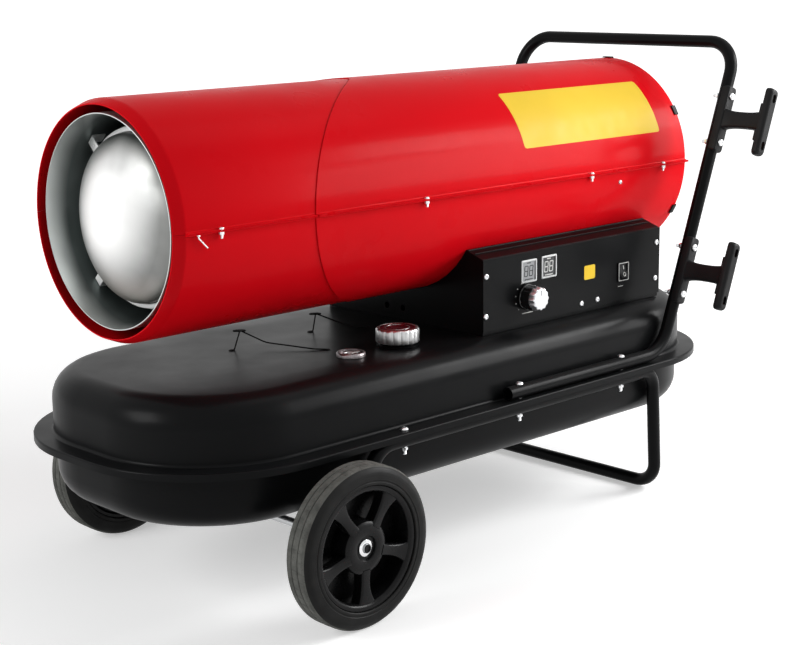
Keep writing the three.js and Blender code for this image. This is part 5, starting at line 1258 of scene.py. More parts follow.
class HEATER_OT_deck_wires(bpy.types.Operator):
    """Two stiff bent wires on the tank's deck, each with an oval eye on top"""

    bl_idname = "heater.deck_wires"
    bl_label = "Deck Wires"

    def execute(self, context):
        radius = sizes().deck_wire * 500
        for k, (foot, eye, rest) in enumerate((
            ((40, 33), (56, 35, 340.5), [(84, 11, 322.5), (122, -52, 316.2), (136, -64, 315.4)]),
            ((196, 43), (206, 43, 340.5), [(240, 12, 322.5), (262, 6, 317), (277, 2, 315.4)]),
        )):
            form = Form()
            base = (foot[0], foot[1], DECK_Z + 0.2)
            oval = [(eye[0] + 10 * math.cos(t), eye[1] + 3.2 * math.sin(t), eye[2] - 1.2 * math.cos(t))
                    for t in (2 * math.pi * j / 28 for j in range(29))]
            stem = eased([base, (foot[0] + 5, foot[1], DECK_Z + 1.2),
                          (eye[0] - 2, eye[1] - 3, eye[2] - 1)], 2, 4, False)
            form.swept(stem, radius, 10)
            form.swept(oval[:-1] + [oval[0]], radius * 1.25, 10)
            form.swept(eased([(eye[0] + 2, eye[1] - 3, eye[2] - 0.5)] + rest, 25, 8, False), radius, 10)
            form.turned("Z", [(DECK_Z, 0), (DECK_Z, 4.6), (DECK_Z + 0.8, 4.6), (DECK_Z + 1.8, 3.0),
                              (DECK_Z + 2.2, 0)], 20, (foot[0], foot[1], 0))
            end = rest[-1]
            form.turned("Z", [(DECK_Z, 0), (DECK_Z, 3.4), (DECK_Z + 0.9, 3.2), (DECK_Z + 1.6, 1.6),
                              (DECK_Z + 1.8, 0)], 18, (end[0], end[1], 0))
            finished(mesh_of(f"deck_wire_{k + 1}", form, ["black_mould"]), "heater", "black_plastic")
        return {"FINISHED"}


# ------------------------------------------------------------------ frame


def mirrored(points):
    return points + [(x, -y, z) for x, y, z in reversed(points)]


def leg_x(z):
    return 697.4 + (z - HANDLE_RAIL_Z) * math.tan(LEAN)


class HEATER_OT_frame_tubes(bpy.types.Operator):
    """Bent chassis tube with its axle sleeves, and the handle tube with open front ends"""

    bl_idname = "heater.frame_tubes"
    bl_label = "Frame Tubes"

    def execute(self, context):
        outer = sizes().tube * 500
        drop = (RAIL_Z - AXLE_Z) / math.tan(math.radians(50))
        corners = mirrored([(0, -RAIL_Y, AXLE_Z), (drop, -RAIL_Y, RAIL_Z), (676, -RAIL_Y, RAIL_Z),
                            (724, -196, outer)])
        form = Form().swept(eased(corners, [0, 40, 38, 45, 45, 38, 40, 0], 12, False), outer, 32,
                            outer - 2)
        for y in (-RAIL_Y, RAIL_Y):
            sleeve = [(-12.5, 6.3), (-12.5, 11.4), (-11.9, 12), (11.9, 12), (12.5, 11.4), (12.5, 6.3)]
            form.turned("Y", sleeve, 40, (0, y, AXLE_Z), loop=True)
            bead = [(9.2 * math.cos(t) + 6.5, y + 9.2 * math.sin(t), AXLE_Z + 9.6 - 3.0 * math.cos(t))
                    for t in (2 * math.pi * j / 24 for j in range(25))]
            form.swept(bead, 1.5, 8)
        finished(mesh_of("chassis", form, ["black_coat"], 30), "heater", "black_paint", "chassis_tube")

        top = 717 - 0.06
        corners = mirrored([(338, -RAIL_Y, HANDLE_RAIL_Z), (697.4, -RAIL_Y, HANDLE_RAIL_Z),
                            (leg_x(top), -RAIL_Y, top)])
        form = Form().swept(eased(corners, [0, 60, 52, 52, 60, 0], 12, False), outer, 32, outer - 2)
        finished(mesh_of("handle", form, ["black_coat"], 30), "heater", "black_paint", "handle_tube")
        return {"FINISHED"}


class HEATER_OT_frame_bolts(bpy.types.Operator):
    """Six bolts that hold the tank's flange between chassis and handle, and the wraps' four bolts"""

    bl_idname = "heater.frame_bolts"
    bl_label = "Frame Bolts"

    def execute(self, context):
        bottom = RAIL_Z - 10.3
        seat = FLANGE_Z + 0.3
        spots = [((FLANGE_BOLT_X, hand * RAIL_Y, seat), (0, 0, 0)) for hand in (-1, 1)]
        made = planted("flange_bolts", machine_bolt("one", "zinc", seat - bottom), "zinc", spots)
        finished(made, "heater", "zinc", "frame_bolt_near_1", "frame_bolt_far_1")
        top = HANDLE_RAIL_Z + 10.3
        spots = [((x, hand * RAIL_Y, top), (0, 0, 0)) for x in RAIL_BOLTS_X for hand in (-1, 1)]
        made = planted("rail_bolts", machine_bolt("one", "zinc", top - bottom), "zinc", spots)
        finished(made, "heater", "zinc", "frame_bolt_near_2", "frame_bolt_near_3", "frame_bolt_far_2",
                 "frame_bolt_far_3")
        spots = []
        for z in WRAP_HEIGHTS.values():
            for end in (-WRAP_BOLT_REACH, WRAP_BOLT_REACH):
                x = leg_x(z) + end * math.sin(LEAN)
                spots.append(((x, -RAIL_Y - 13.85, z + end * math.cos(LEAN)), (math.pi / 2, 0, 0)))
        made = planted("wrap_bolts", machine_bolt("one", "zinc", 24.15), "zinc", spots)
        finished(made, "heater", "zinc", "wrap_bolt_1", "wrap_bolt_2", "wrap_bolt_3", "wrap_bolt_4")
        return {"FINISHED"}


class HEATER_OT_cord_wraps(bpy.types.Operator):
    """Two moulded cord wraps on the handle's near leg"""

    bl_idname = "heater.cord_wraps"
    bl_label = "Cord Wraps"

    def execute(self, context):
        for word, z in WRAP_HEIGHTS.items():
            turn = (Matrix.Translation((leg_x(z), -RAIL_Y, z)) @ Matrix.Rotation(LEAN, 4, "Y"))
            face, bar = -13.55, -81.55
            parts = []
            for piece, low, high, width, round_ in (
                ("bar", bar - 12, bar, 11, 6.5), ("saddle", face, face + 13, 11, 5),
            ):
                form = Form()
                outline = rounded_box(-width, width, -54, 54, round_, 6)
                crown = 3.4 if piece == "bar" else 1.2
                rows = []
                levels = [(high, 0.4), (high - 0.5, 0)] + [
                    (high - 0.5 - (high - low - 0.5) * (0.35 + 0.65 * math.sin(a)),
                     crown * (1 - math.cos(a)) * 1.6) for a in (k * math.pi / 12 for k in range(7))]
                for y, inset in levels:
                    scale_x, scale_z = (width - inset) / width, (54 - inset) / 54
                    rows.append([(p.x * scale_x, y, p.y * scale_z) for p in outline])
                form.rings(rows)
                own = Form().joined(form, turn)
                made = mesh_of(f"{word}_{piece}", own, ["black_mould"])
                holes = Form()
                if piece == "bar":
                    for end in (-WRAP_BOLT_REACH, WRAP_BOLT_REACH):
                        slot = rounded_box(-4, 4, end - 7, end + 7, 3.9, 6)
                        hole = Form().prism([(p.x, p.y) for p in slot], "Y", bar - 20, bar + 5)
                        holes.joined(hole, turn)
                else:
                    tube = Form().turned("Z", [(-80, 0), (-80, 10.2), (80, 10.2), (80, 0)], 48)
                    holes.joined(tube, turn)
                cut_out(made, mesh_of("hole", holes, ["black_mould"]))
                parts.append(made)
            neck = Form()
            outline = rounded_box(-7, 7, -13, 13, 4, 4)
            rows = []
            for k in range(9):
                share = k / 8
                flare = 1 + 0.30 * abs(2 * share - 1) ** 3
                y = bar - 1.5 + (face + 2 - bar + 1) * share
                rows.append([(p.x * flare, y, p.y * flare) for p in outline])
            neck.rings(rows)
            rib = Form()
            rib.block((-2, bar - 0.5, -30), (2, bar + 9, 30), 1.0)
            neck.joined(rib)
            parts.append(mesh_of(f"{word}_neck", Form().joined(neck, turn), ["black_mould"]))
            finished(merged(f"wrap_{word}", *parts), "heater", "black_plastic", f"cord_wrap_{word}")
        return {"FINISHED"}


# ------------------------------------------------------------------ wheels


class HEATER_OT_wheels(bpy.types.Operator):
    """Two rubber-tyred wheels with five spokes, and the axle with its retaining rings"""

    bl_idname = "heater.wheels"
    bl_label = "Wheels"

    def execute(self, context):
        centre = (0, 0, AXLE_Z)
        for side, hand in (("near", -1), ("far", 1)):
            body = f"wheel_{side}"
            inner = WHEEL_FACE - 42.6

            def across(value):
                return hand * (inner + value)

            wall = [(0.8, 84.4), (0, 85.4), (0, 88), (0.7, 88.8), (0.7, 90.2), (0, 91), (0, 97),
                    (0.5, 100.6), (2.2, 104.6), (4.6, 107.6), (7.0, 109.3)]
            tread = []
            for start in (15.5, 27.1):
                tread += [(start - 0.9, 109.4), (start - 0.5, 108.5), (start + 0.5, 108.5),
                          (start + 0.9, 109.4)]
            profile = wall + tread + [(42.6 - a, r) for a, r in reversed(wall)]
            form = Form().turned("Y", [(across(a), r) for a, r in profile], 120, centre, loop=True)
            tyre = mesh_of("tyre_body", form, ["tyre_wall"])
            tyre.data.materials.append(finish("tyre_tread"))
            for polygon in tyre.data.polygons:
                middle = polygon.center - placed(centre)
                if math.hypot(middle.x, middle.z) > 0.1062:
                    polygon.material_index = 1
            block = Form()
            for low, high, shift in ((7.0, 14.4, 0), (16.6, 26.0, 2.6), (28.2, 35.6, 0)):
                one = Form()
                rows = []
                for height, inset in ((108.9, 0), (109.4, 0), (109.72, 0.5)):
                    y1, y2 = across(low + inset), across(high - inset)
                    w = 5.9 - inset
                    rows.append([(shift + x, y, height)
                                 for x, y in ((-w, y1), (w, y1), (w, y2), (-w, y2))])
                one.rings(rows)
                block.joined(one)
            blocks = copies_round("tread_blocks", block, "tyre_tread", 52, (0, 1, 0), centre)
            finished(merged(f"tyre_{side}", tyre, blocks), body, "tyre_rubber", f"tire_{side}")

            low, high = inner + 2.5, WHEEL_FACE - 2.5
            ring = [(low + 0.8, 84), (low, 83.2), (low, 75.8), (low + 0.8, 75), (high - 5, 75),
                    (high - 1.6, 76.6), (high - 0.4, 78.4), (high, 80), (high, 83), (high - 0.8, 84)]
            form = Form().turned("Y", [(hand * a, r) for a, r in ring], 96, centre, loop=True)
            web = [(low, 0), (low, 79), (low + 4, 79), (low + 4, 50), (low + 5, 38), (low + 5, 0)]
            form.turned("Y", [(hand * a, r) for a, r in web], 96, centre)
            hub = [(236.3, 6.5), (236.3, 16.5), (237, 17), (low + 1, 17), (low + 1, 36), (high - 8, 36),
                   (high - 5.2, 35), (high - 3.4, 32), (high - 2.6, 27), (high - 2.4, 18.4),
                   (high - 3.0, 17.2), (high - 6, 16), (high - 6, 6.5)]
            form.turned("Y", [(hand * a, r) for a, r in hub], 72, centre, loop=True)
            rim = mesh_of("rim_body", form, ["rim_mould"])
            spoke = Form()
            rows = []
            for k in range(15):
                share = k / 14
                r = 30 + (78.5 - 30) * share
                width = 7.0 + 1.5 * (1 - share) ** 3 + 9.0 * share ** 3.2
                top = high - 2.4 - 1.6 * math.sin(math.pi * share)
                section = rounded_box(-width, width, high - 22, top, 3.4, 4)
                rows.append([(r, hand * p.y, p.x) for p in section])
            spoke.rings(rows)
            first = -0.75 * 2 * math.pi / 5
            spokes = copies_round("spokes", spoke, "rim_mould", 5, (0, 1, 0), centre, first)
            finished(merged(f"rim_{side}_piece", rim, spokes), body, "black_plastic", f"rim_{side}")

            face = high - 6 + 0.3
            washer = [(hand * (face + a), r)
                      for a, r in ((0, 6.3), (0, 10.7), (0.5, 11.25), (1.3, 11.25), (2.2, 9.2),
                                   (2.6, 8.0), (2.6, 6.9), (1.8, 6.3))]
            finished(turned_mesh(f"axle_cap_{side}", "chrome", "Y", washer, 48, centre, True), "heater",
                     "zinc", f"axle_ring_{side}")

        end = WHEEL_FACE - 2.5
        half = [(end - 1.6, 0), (end - 1.6, 3.4), (end, 4.4), (end, 5.2), (end - 0.8, 6)]
        profile = half + [(-a, r) for a, r in reversed(half)]
        form = Form().turned("Y", profile, 48, centre)
        axle = mesh_of("axle", form, ["axle_zinc"])
        axle.data.materials.append(finish("black_mould"))
        for polygon in axle.data.polygons:
            if abs(polygon.center.y - ORIGIN.y) * 1000 > end - 2 and abs(polygon.normal.y) > 0.3:
                polygon.material_index = 1
        finished(axle, "heater", "zinc", "wheel_axle")
        return {"FINISHED"}


# ------------------------------------------------------------------ base and controls


class HEATER_OT_base(bpy.types.Operator):
    """Folded base under the barrel, its control panel with six screws, and the cable gland"""

    bl_idname = "heater.base"
    bl_label = "Base and Panel"

    def execute(self, context):
        eased_copy("base_housing", "base_box", "black_coat", 1.1, "heater", "black_paint")
        form = Form()
        for hand in (-1, 1):
            for y, z, r in ((137.8, 438.0, 1.3), (150.5, 434.4, 0.8)):
                form.swept([(347, hand * y, z), (755, hand * y, z)], r, 12)
        finished(mesh_of("base_hems", form, ["black_coat"]), "heater", "black_paint")
        eased_copy("control_panel", "panel_plate", "black_coat", 0.7, "heater", "black_paint")
        eased_copy("cable_gland", "gland_body", "black_mould", 0.5, "heater", "black_plastic")
        head = sizes().screw_head * 1000
        spots = [((x, PANEL_Y, z), (math.pi / 2, 0, 0)) for x, z in (
            (350, 403), (349, 344), (749, 404), (747, 346), (564, 331), (602, 332))]
        made = planted("panel_screws", pan_screw("one", "zinc", head * 1.12, shank=3.8), "zinc", spots)
        finished(made, "heater", "zinc")
        return {"FINISHED"}


SEGMENTS = {  # strokes of a digit, from corner to corner on a 1 by 2 cell
    "a": ((0, 2), (1, 2)), "b": ((1, 2), (1, 1)), "c": ((1, 1), (1, 0)), "d": ((0, 0), (1, 0)),
    "e": ((0, 1), (0, 0)), "f": ((0, 2), (0, 1)), "g": ((0, 1), (1, 1)),
}


def digit(form, x, z, width, height, y, look):
    """Seven raised strokes of a display digit, slanted a little."""
    for (x1, z1), (x2, z2) in SEGMENTS.values():
        a = Vector((x + x1 * width + z1 * 0.10 * width, z + z1 * height / 2))
        b = Vector((x + x2 * width + z2 * 0.10 * width, z + z2 * height / 2))
        run = (b - a).normalized()
        a, b = a + run * 0.55, b - run * 0.55
        side = Vector((-run.y, run.x)) * 0.75
        tip = run * 0.75
        outline = [a - tip * 0.6, a + side, b + side, b + tip * 0.6, b - side, a - side]
        form.prism([(p.x, p.y) for p in outline], "Y", y - 0.25, y + 0.3, look=look)


class HEATER_OT_controls(bpy.types.Operator):
    """Two display windows, thermostat knob, rocker switch and the panel's plain marks"""

    bl_idname = "heater.controls"
    bl_label = "Controls"

    def execute(self, context):
        form = Form()
        for x, z, pane, ink in WINDOWS:
            outer = rounded_box(x - 17, x + 17, z - 17, z + 17, 2.0, 4)
            lip = rounded_box(x - 15.8, x + 15.8, z - 15.8, z + 15.8, 1.4, 4)
            hole = rounded_box(x - 14.5, x + 14.5, z - 14.5, z + 14.5, 1.0, 4)
            rows = [[(p.x, PANEL_Y + 6, p.y) for p in hole], [(p.x, PANEL_Y + 6, p.y) for p in outer],
                    [(p.x, PANEL_Y - 0.5, p.y) for p in outer], [(p.x, PANEL_Y - 1, p.y) for p in lip],
                    [(p.x, PANEL_Y - 1, p.y) for p in hole]]
            form.rings(rows, caps=False, loop=True)
            form.block((x - 14.8, PANEL_Y + 0.6, z - 14.8), (x + 14.8, PANEL_Y + 3, z + 14.8), 0.2,
                       look=pane)
            for k in (0, 1):
                digit(form, x - 10.0 + 11.0 * k, z - 7.6, 7.2, 15.2, PANEL_Y + 0.6, ink)
            for level, half in ((12.0, 4.2), (-12.4, 8.6)):
                form.block((x - half, PANEL_Y + 0.35, z + level - 0.8),
                           (x + half, PANEL_Y + 0.8, z + level + 0.8), 0.15, look=ink)
        looks = ["window_frame", "window_dark", "pale_ink", "window_pale"]
        made = mesh_of("display_windows", form, looks, 30)
        finished(made, "heater", "display_grey", "display_unit")

        centre = KNOB
        seat = PANEL_Y - 0.4
        core = [(seat, 0), (seat, 19.0), (seat - 0.8, 19.5), (seat - 3.5, 19.5), (seat - 4.4, 18.4),
                (seat - 19.4, 17.8), (seat - 20, 17.2), (seat - 20, 0)]
        body = turned_mesh("knob_body", "gloss_mould", "Y", core, 80, centre)
        rib = Form()
        section = [(-3.7, 0), (-3.2, 0.7), (-1.9, 1.2), (0, 1.35), (1.9, 1.2), (3.2, 0.7), (3.7, 0)]
        rows = [[(p, seat - 3.6, 17.7 + q) for p, q in section],
                [(p * 0.97, seat - 19.6, 17.1 + q * 0.95) for p, q in section],
                [(p * 0.96, seat - 20.2, 17.0 + q * 0.9) for p, q in section]]
        rib.rings(rows)
        ribs = copies_round("knob_ribs", rib, "gloss_mould", 12, (0, 1, 0), centre)
        form, rows = Form(), []
        for along, radius, lobe in ((20.2, 0, 0), (20.2, 17.0, 1.0), (28.0, 16.4, 0.9),
                                    (29.2, 15.8, 0.8), (29.8, 14.8, 0.6), (29.9, 12, 0), (29.9, 0, 0)):
            row = []
            for j in range(112):
                angle = 2 * math.pi * j / 112
                reach = radius + lobe * math.cos(12 * angle)
                row.append((centre[0] + reach * math.sin(angle), seat - along,
                            centre[2] + reach * math.cos(angle)))
            rows.append(row)
        face = mesh_of("knob_face", form.rings(rows, caps=False), ["knob_cap"])
        line = Form().block((436.4, seat - 29.98, 366), (437.6, seat - 29.5, 375.0), 0.1)
        pointer = mesh_of("knob_line", line, ["black_mould"])
        stem = [(seat + 0.2, 0), (seat + 0.2, 3), (-148, 3), (-148, 0)]
        stem = turned_mesh("knob_stem", "brass", "Y", stem, 24, centre)
        finished(merged("knob", body, ribs, face, pointer, stem), "thermostat", "black_plastic",
                 "thermostat_knob")

        eased_copy("switch_housing", "switch_case", "black_mould", 0.6, "heater", "black_plastic")
        rocker = copied("power_rocker", "rocker_cap", "black_mould", 0.7)
        tilt = (Matrix.Translation((SWITCH_X, PANEL_Y + 3, SWITCH_Z))
                @ Matrix.Rotation(math.radians(-12), 4, "X"))
        signs = Form().block((-0.8, -6.3, 2.6), (0.8, -5.7, 8.4), 0.15)
        circle = [(2.7 * math.cos(t), -5.95, -5.4 + 3.0 * math.sin(t))
                  for t in (2 * math.pi * j / 24 for j in range(25))]
        signs.swept(circle, 0.6, 8)
        rocker = merged("rocker_piece", rocker,
                        mesh_of("rocker_signs", Form().joined(signs, tilt), ["pale_ink"]))
        finished(rocker, "rocker", "black_plastic", "power_rocker")

        form = Form()
        y = PANEL_Y
        edge = [rounded_box(SWITCH_X - a, SWITCH_X + a, SWITCH_Z - b, SWITCH_Z + b, r)
                for a, b, r in ((12.3, 14.3, 2.0), (11.3, 13.3, 1.2))]
        rows = [[(p.x, y - d, p.y) for p in edge[k]]
                for k, d in ((0, 2.2), (0, 2.65), (1, 2.65), (1, 2.2))]
        form.rings(rows, caps=False, loop=True)
        for x1, x2, z1, z2 in ((427.5, 452, 336.0, 337.0), (653, 665.6, 344.6, 345.5)):
            form.block((x1, y - 0.22, z1), (x2, y + 0.1, z2), 0.1)
        for k in range(11):
            angle = math.radians(-135 + 27 * k)
            x, z = KNOB[0] + 24 * math.sin(angle), KNOB[2] + 24 * math.cos(angle)
            if z < 344:
                continue
            dot = [(y - 0.22, 0), (y - 0.22, 0.8), (y + 0.1, 0.8), (y + 0.1, 0)]
            form.turned("Y", dot, 12, (x, 0, z))
        finished(mesh_of("panel_marks", form, ["pale_ink"]), "heater", "display_grey")
        form = Form()
        outline = rounded_box(570, 596, 367, 389, 3.0, 5)
        form.prism([(p.x, p.y) for p in outline], "Y", y - 0.25, y + 0.05, 0.08)
        made = mesh_of("plain_mark", form, ["sheet"])
        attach(made, "heater")
        return {"FINISHED"}


# ------------------------------------------------------------------ filler and gauge


class HEATER_OT_filler(bpy.types.Operator):
    """Filler neck, strainer, gasket and the fluted fuel cap"""

    bl_idname = "heater.filler"
    bl_label = "Filler and Cap"

    def execute(self, context):
        x, y = FILLER[:2]
        neck = [(302.6, 24.6), (302.6, 27), (314.7, 27), (314.9, 29.6), (315.3, 30), (317.2, 30),
                (317.5, 29.5), (317.5, 27.4), (318.4, 26.6)]
        for k in range(3):
            z = 319.4 + 3 * k
            neck += [(z, 26.6), (z + 0.7, 27), (z + 1.3, 27), (z + 2, 26.6)]
        neck += [(329.1, 26.4), (329.1, 24.8)]
        # The neck wears the black coat in place of its zinc, as painted shade under the cap.
        finished(turned_mesh("neck", "black_coat", "Z", neck, 72, FILLER, True, 30), "heater", "zinc",
                 "filler_neck")
        eased_copy("filler_strainer", "strainer", "brass", 0.3, "heater", "brass")
        gasket = [(331, 15), (330.9, 26.4), (331.3, 26.9), (333, 26.9), (333.4, 26.4), (333.4, 15)]
        finished(turned_mesh("gasket_ring", "soft_rubber", "Z", gasket, 64, FILLER, True), "gasket",
                 "rubber", "cap_gasket")

        form, rows = Form(), []
        skin = ((333.7, 0, 0), (333.7, 28, 0), (320.5, 28.4, 0), (320.5, 29.4, 0.6), (321.1, 30.0, 1.2),
                (321.8, 30.2, 1.3), (338.2, 30.2, 1.3), (339.4, 29.9, 1.1), (340.6, 29.3, 0.5),
                (341.3, 28.6, 0), (341.5, 27.6, 0), (341.4, 26.2, 0), (340.6, 25.4, 0), (340.6, 0, 0))
        for z, radius, lobe in skin:
            row = []
            for j in range(192):
                angle = 2 * math.pi * j / 192
                reach = radius + lobe * (abs(math.cos(8 * angle)) ** 0.6)
                row.append((x + reach * math.cos(angle), y + reach * math.sin(angle), z))
            rows.append(row)
        shell = mesh_of("cap_shell", form.rings(rows, caps=False), ["satin_alloy"], 40)
        top = [(340.3, 0), (340.3, 25.2), (341.0, 25.2), (341.3, 24.6), (341.25, 22.4), (340.9, 21.8),
               (340.9, 14.6), (341.2, 14.0), (341.2, 12.6), (340.9, 12.0), (340.9, 0)]
        face = turned_mesh("cap_face", "dial_red", "Z", top, 80, FILLER)
        ring = [(340.8, 16.9), (341.1, 17.1), (341.1, 17.9), (340.8, 18.1)]
        rim = turned_mesh("cap_line", "satin_alloy", "Z", ring, 80, FILLER, True)
        finished(merged("fuel_cap_piece", shell, face, rim), "cap", "chrome", "fuel_cap")
        return {"FINISHED"}


class HEATER_OT_gauge(bpy.types.Operator):
    """Fuel gauge with its bezel, red face, pointer, and the float on its rod"""

    bl_idname = "heater.gauge"
    bl_label = "Fuel Gauge"

    def execute(self, context):
        bezel = [(318.0, 17.3), (321.1, 17.5), (321.4, 18.0), (321.3, 19.0), (320.2, 20.2),
                 (318.4, 20.8), (315.2, 20.8), (314.9, 20.4), (314.9, 17.3)]
        parts = [turned_mesh("bezel", "dull_alloy", "Z", bezel, 72, GAUGE, True, 40)]
        inner = [(318.0, 9.4), (318.6, 9.8), (318.6, 10.8), (318.0, 11.2)]
        parts.append(turned_mesh("dial_ring", "satin_alloy", "Z", inner, 60, GAUGE, True))
        dial = [(317.2, 0), (317.2, 2.2), (317.7, 2.4), (317.7, 17.4), (314.9, 17.4), (314.9, 12),
                (279, 12), (279, 4), (143.4, 4), (143.4, 0)]
        parts.append(turned_mesh("dial", "dial_red", "Z", dial, 64, GAUGE, False, 30))
        mark = Form().block((13.2, -0.3, 317.6), (16.6, 0.3, 317.85), 0.1)
        parts.append(copies_round("marks", mark, "pale_ink", 9, (0, 0, 1), GAUGE, math.radians(30)))
        finished(merged("gauge", *parts), "heater", "chrome", "gauge_body")
        eased_copy("gauge_pointer", "gauge_hand", "pale_ink", 0.25, "pointer", "red_paint")
        eased_copy("gauge_float", "float_block", "black_mould", 1.2, "float", "black_plastic")
        return {"FINISHED"}


# ------------------------------------------------------------------ inside


class HEATER_OT_fan(bpy.types.Operator):
    """Fan with five twisted blades on the rotor, and the motor's shaft"""

    bl_idname = "heater.fan"
    bl_label = "Fan and Shaft"

    def execute(self, context):
        centre = (FAN_X, 0, BARREL_Z)
        hub = [(-16, 6.1), (-16, 24), (-15, 27), (-12, 29.6), (-8, 30), (16, 30), (16, 26), (2, 25),
               (2, 12), (16, 10), (16, 6.1)]
        body = turned_mesh("hub", "cast_alloy", "X", hub, 64, centre, True)
        blade, rows = Form(), []
        for k in range(13):
            share = k / 12
            r = 27 + (149.2 - 27) * share
            chord = 30 + 22 * math.sin(math.pi * min(share * 0.62 + 0.1, 1))
            pitch = math.radians(42 - 18 * share)
            section = []
            for order, skin in ((range(9), 0.9), (range(8, -1, -1), -0.9)):
                for j in order:
                    t = j / 8 - 0.5
                    camber = 3.0 * (1 - 4 * t * t)
                    section.append((t * chord, camber + skin))
            sweep = 0.10 * share
            row = []
            for a, b in section:
                along = a * math.sin(pitch) + b * math.cos(pitch)
                around = a * math.cos(pitch) - b * math.sin(pitch)
                limit = max(min(along, 15.8), -15.8)
                angle = around / max(r, 40) + sweep
                row.append((limit, r * math.cos(angle), r * math.sin(angle)))
            rows.append(row)
        blade.rings(rows)
        blades = copies_round("blades", blade, "cast_alloy", 5, (1, 0, 0), centre, smooth=50)
        finished(merged("fan_wheel", body, blades), "rotor", "cast_aluminium", "fan")
        eased_copy("motor_shaft", "shaft", "zinc", 0.5, "rotor", "zinc")
        eased_copy("pump_rotor", "pump_wheel", "cast_alloy", 0.4, "rotor", "cast_aluminium")
        return {"FINISHED"}


class HEATER_OT_motor(bpy.types.Operator):
    """Finned motor on its three-armed bracket, and the air pump behind it"""

    bl_idname = "heater.motor"
    bl_label = "Motor and Pump"

    def execute(self, context):
        parts = [copied("motor_housing", "motor_case", "motor_paint", 1.2)]
        fin = Form().block((-5, -1.1, 50), (24, 1.1, 54.9), 0.5)
        fin.block((44, -1.1, 50), (66, 1.1, 54.9), 0.5)
        fins = copies_round("motor_fins", fin, "motor_paint", 28, (1, 0, 0), (568, 0, BARREL_Z))
        parts.append(fins)
        finished(merged("motor", *parts), "heater", "motor_grey", "motor_housing")
        eased_copy("motor_bracket", "bracket_arms", "zinc", 0.8, "heater", "zinc")
        eased_copy("pump_body", "pump_case", "cast_alloy", 0.8, "heater", "cast_aluminium")
        parts = [copied("pump_cover", "pump_lid", "cast_alloy", 1.0)]
        spots = [((738.6, 38 * math.cos(a), BARREL_Z + 38 * math.sin(a)), (0, math.pi / 2, 0))
                 for a in (math.radians(45 + 90 * k) for k in range(4))]
        parts.append(planted("pump_screws", pan_screw("one", "zinc", 8, length=8), "zinc", spots))
        finished(merged("pump_cap", *parts), "heater", "cast_aluminium", "pump_cover")
        return {"FINISHED"}


class HEATER_OT_burner(bpy.types.Operator):
    """Burner head with its nozzle, spark igniter, photocell and the two lines"""

    bl_idname = "heater.burner"
    bl_label = "Burner"

    def execute(self, context):
        for node, name, look, slot, width in (
            ("burner_head", "burner_plate", "chamber_sheet", "silver_sheet", 0.4),
            ("fuel_nozzle", "nozzle", "brass", "brass", 0.5),
            ("spark_igniter", "igniter", "ceramic", "ceramic", 0.4),
            ("photocell", "flame_sensor", "black_mould", "black_plastic", 0.5),
            ("fuel_line", "fuel_tube", "copper", "copper", 0.2),
            ("air_line", "air_tube", "soft_rubber", "rubber", 0.2),
            ("control_board", "circuit_board", "board", "board_green", 0.15),
            ("ignition_transformer", "transformer", "motor_paint", "motor_grey", 1.6),
        ):
            eased_copy(node, name, look, width, "heater", slot)
        form = Form()
        for x, z, w, h, d in (
            (405, 407, 12, 10, 9), (425, 408, 8, 8, 6), (452, 410, 14, 8, 11), (480, 410, 9, 9, 7),
            (505, 405, 12, 18, 10), (505, 350, 16, 20, 12), (475, 340, 10, 10, 8), (400, 345, 9, 16, 7),
        ):
            form.block((x - w / 2, -147.9, z - h / 2), (x + w / 2, -147.9 + d, z + h / 2), 0.8)
        finished(mesh_of("board_parts", form, ["black_mould"]), "heater", "black_plastic")
        return {"FINISHED"}


# ------------------------------------------------------------------ stage


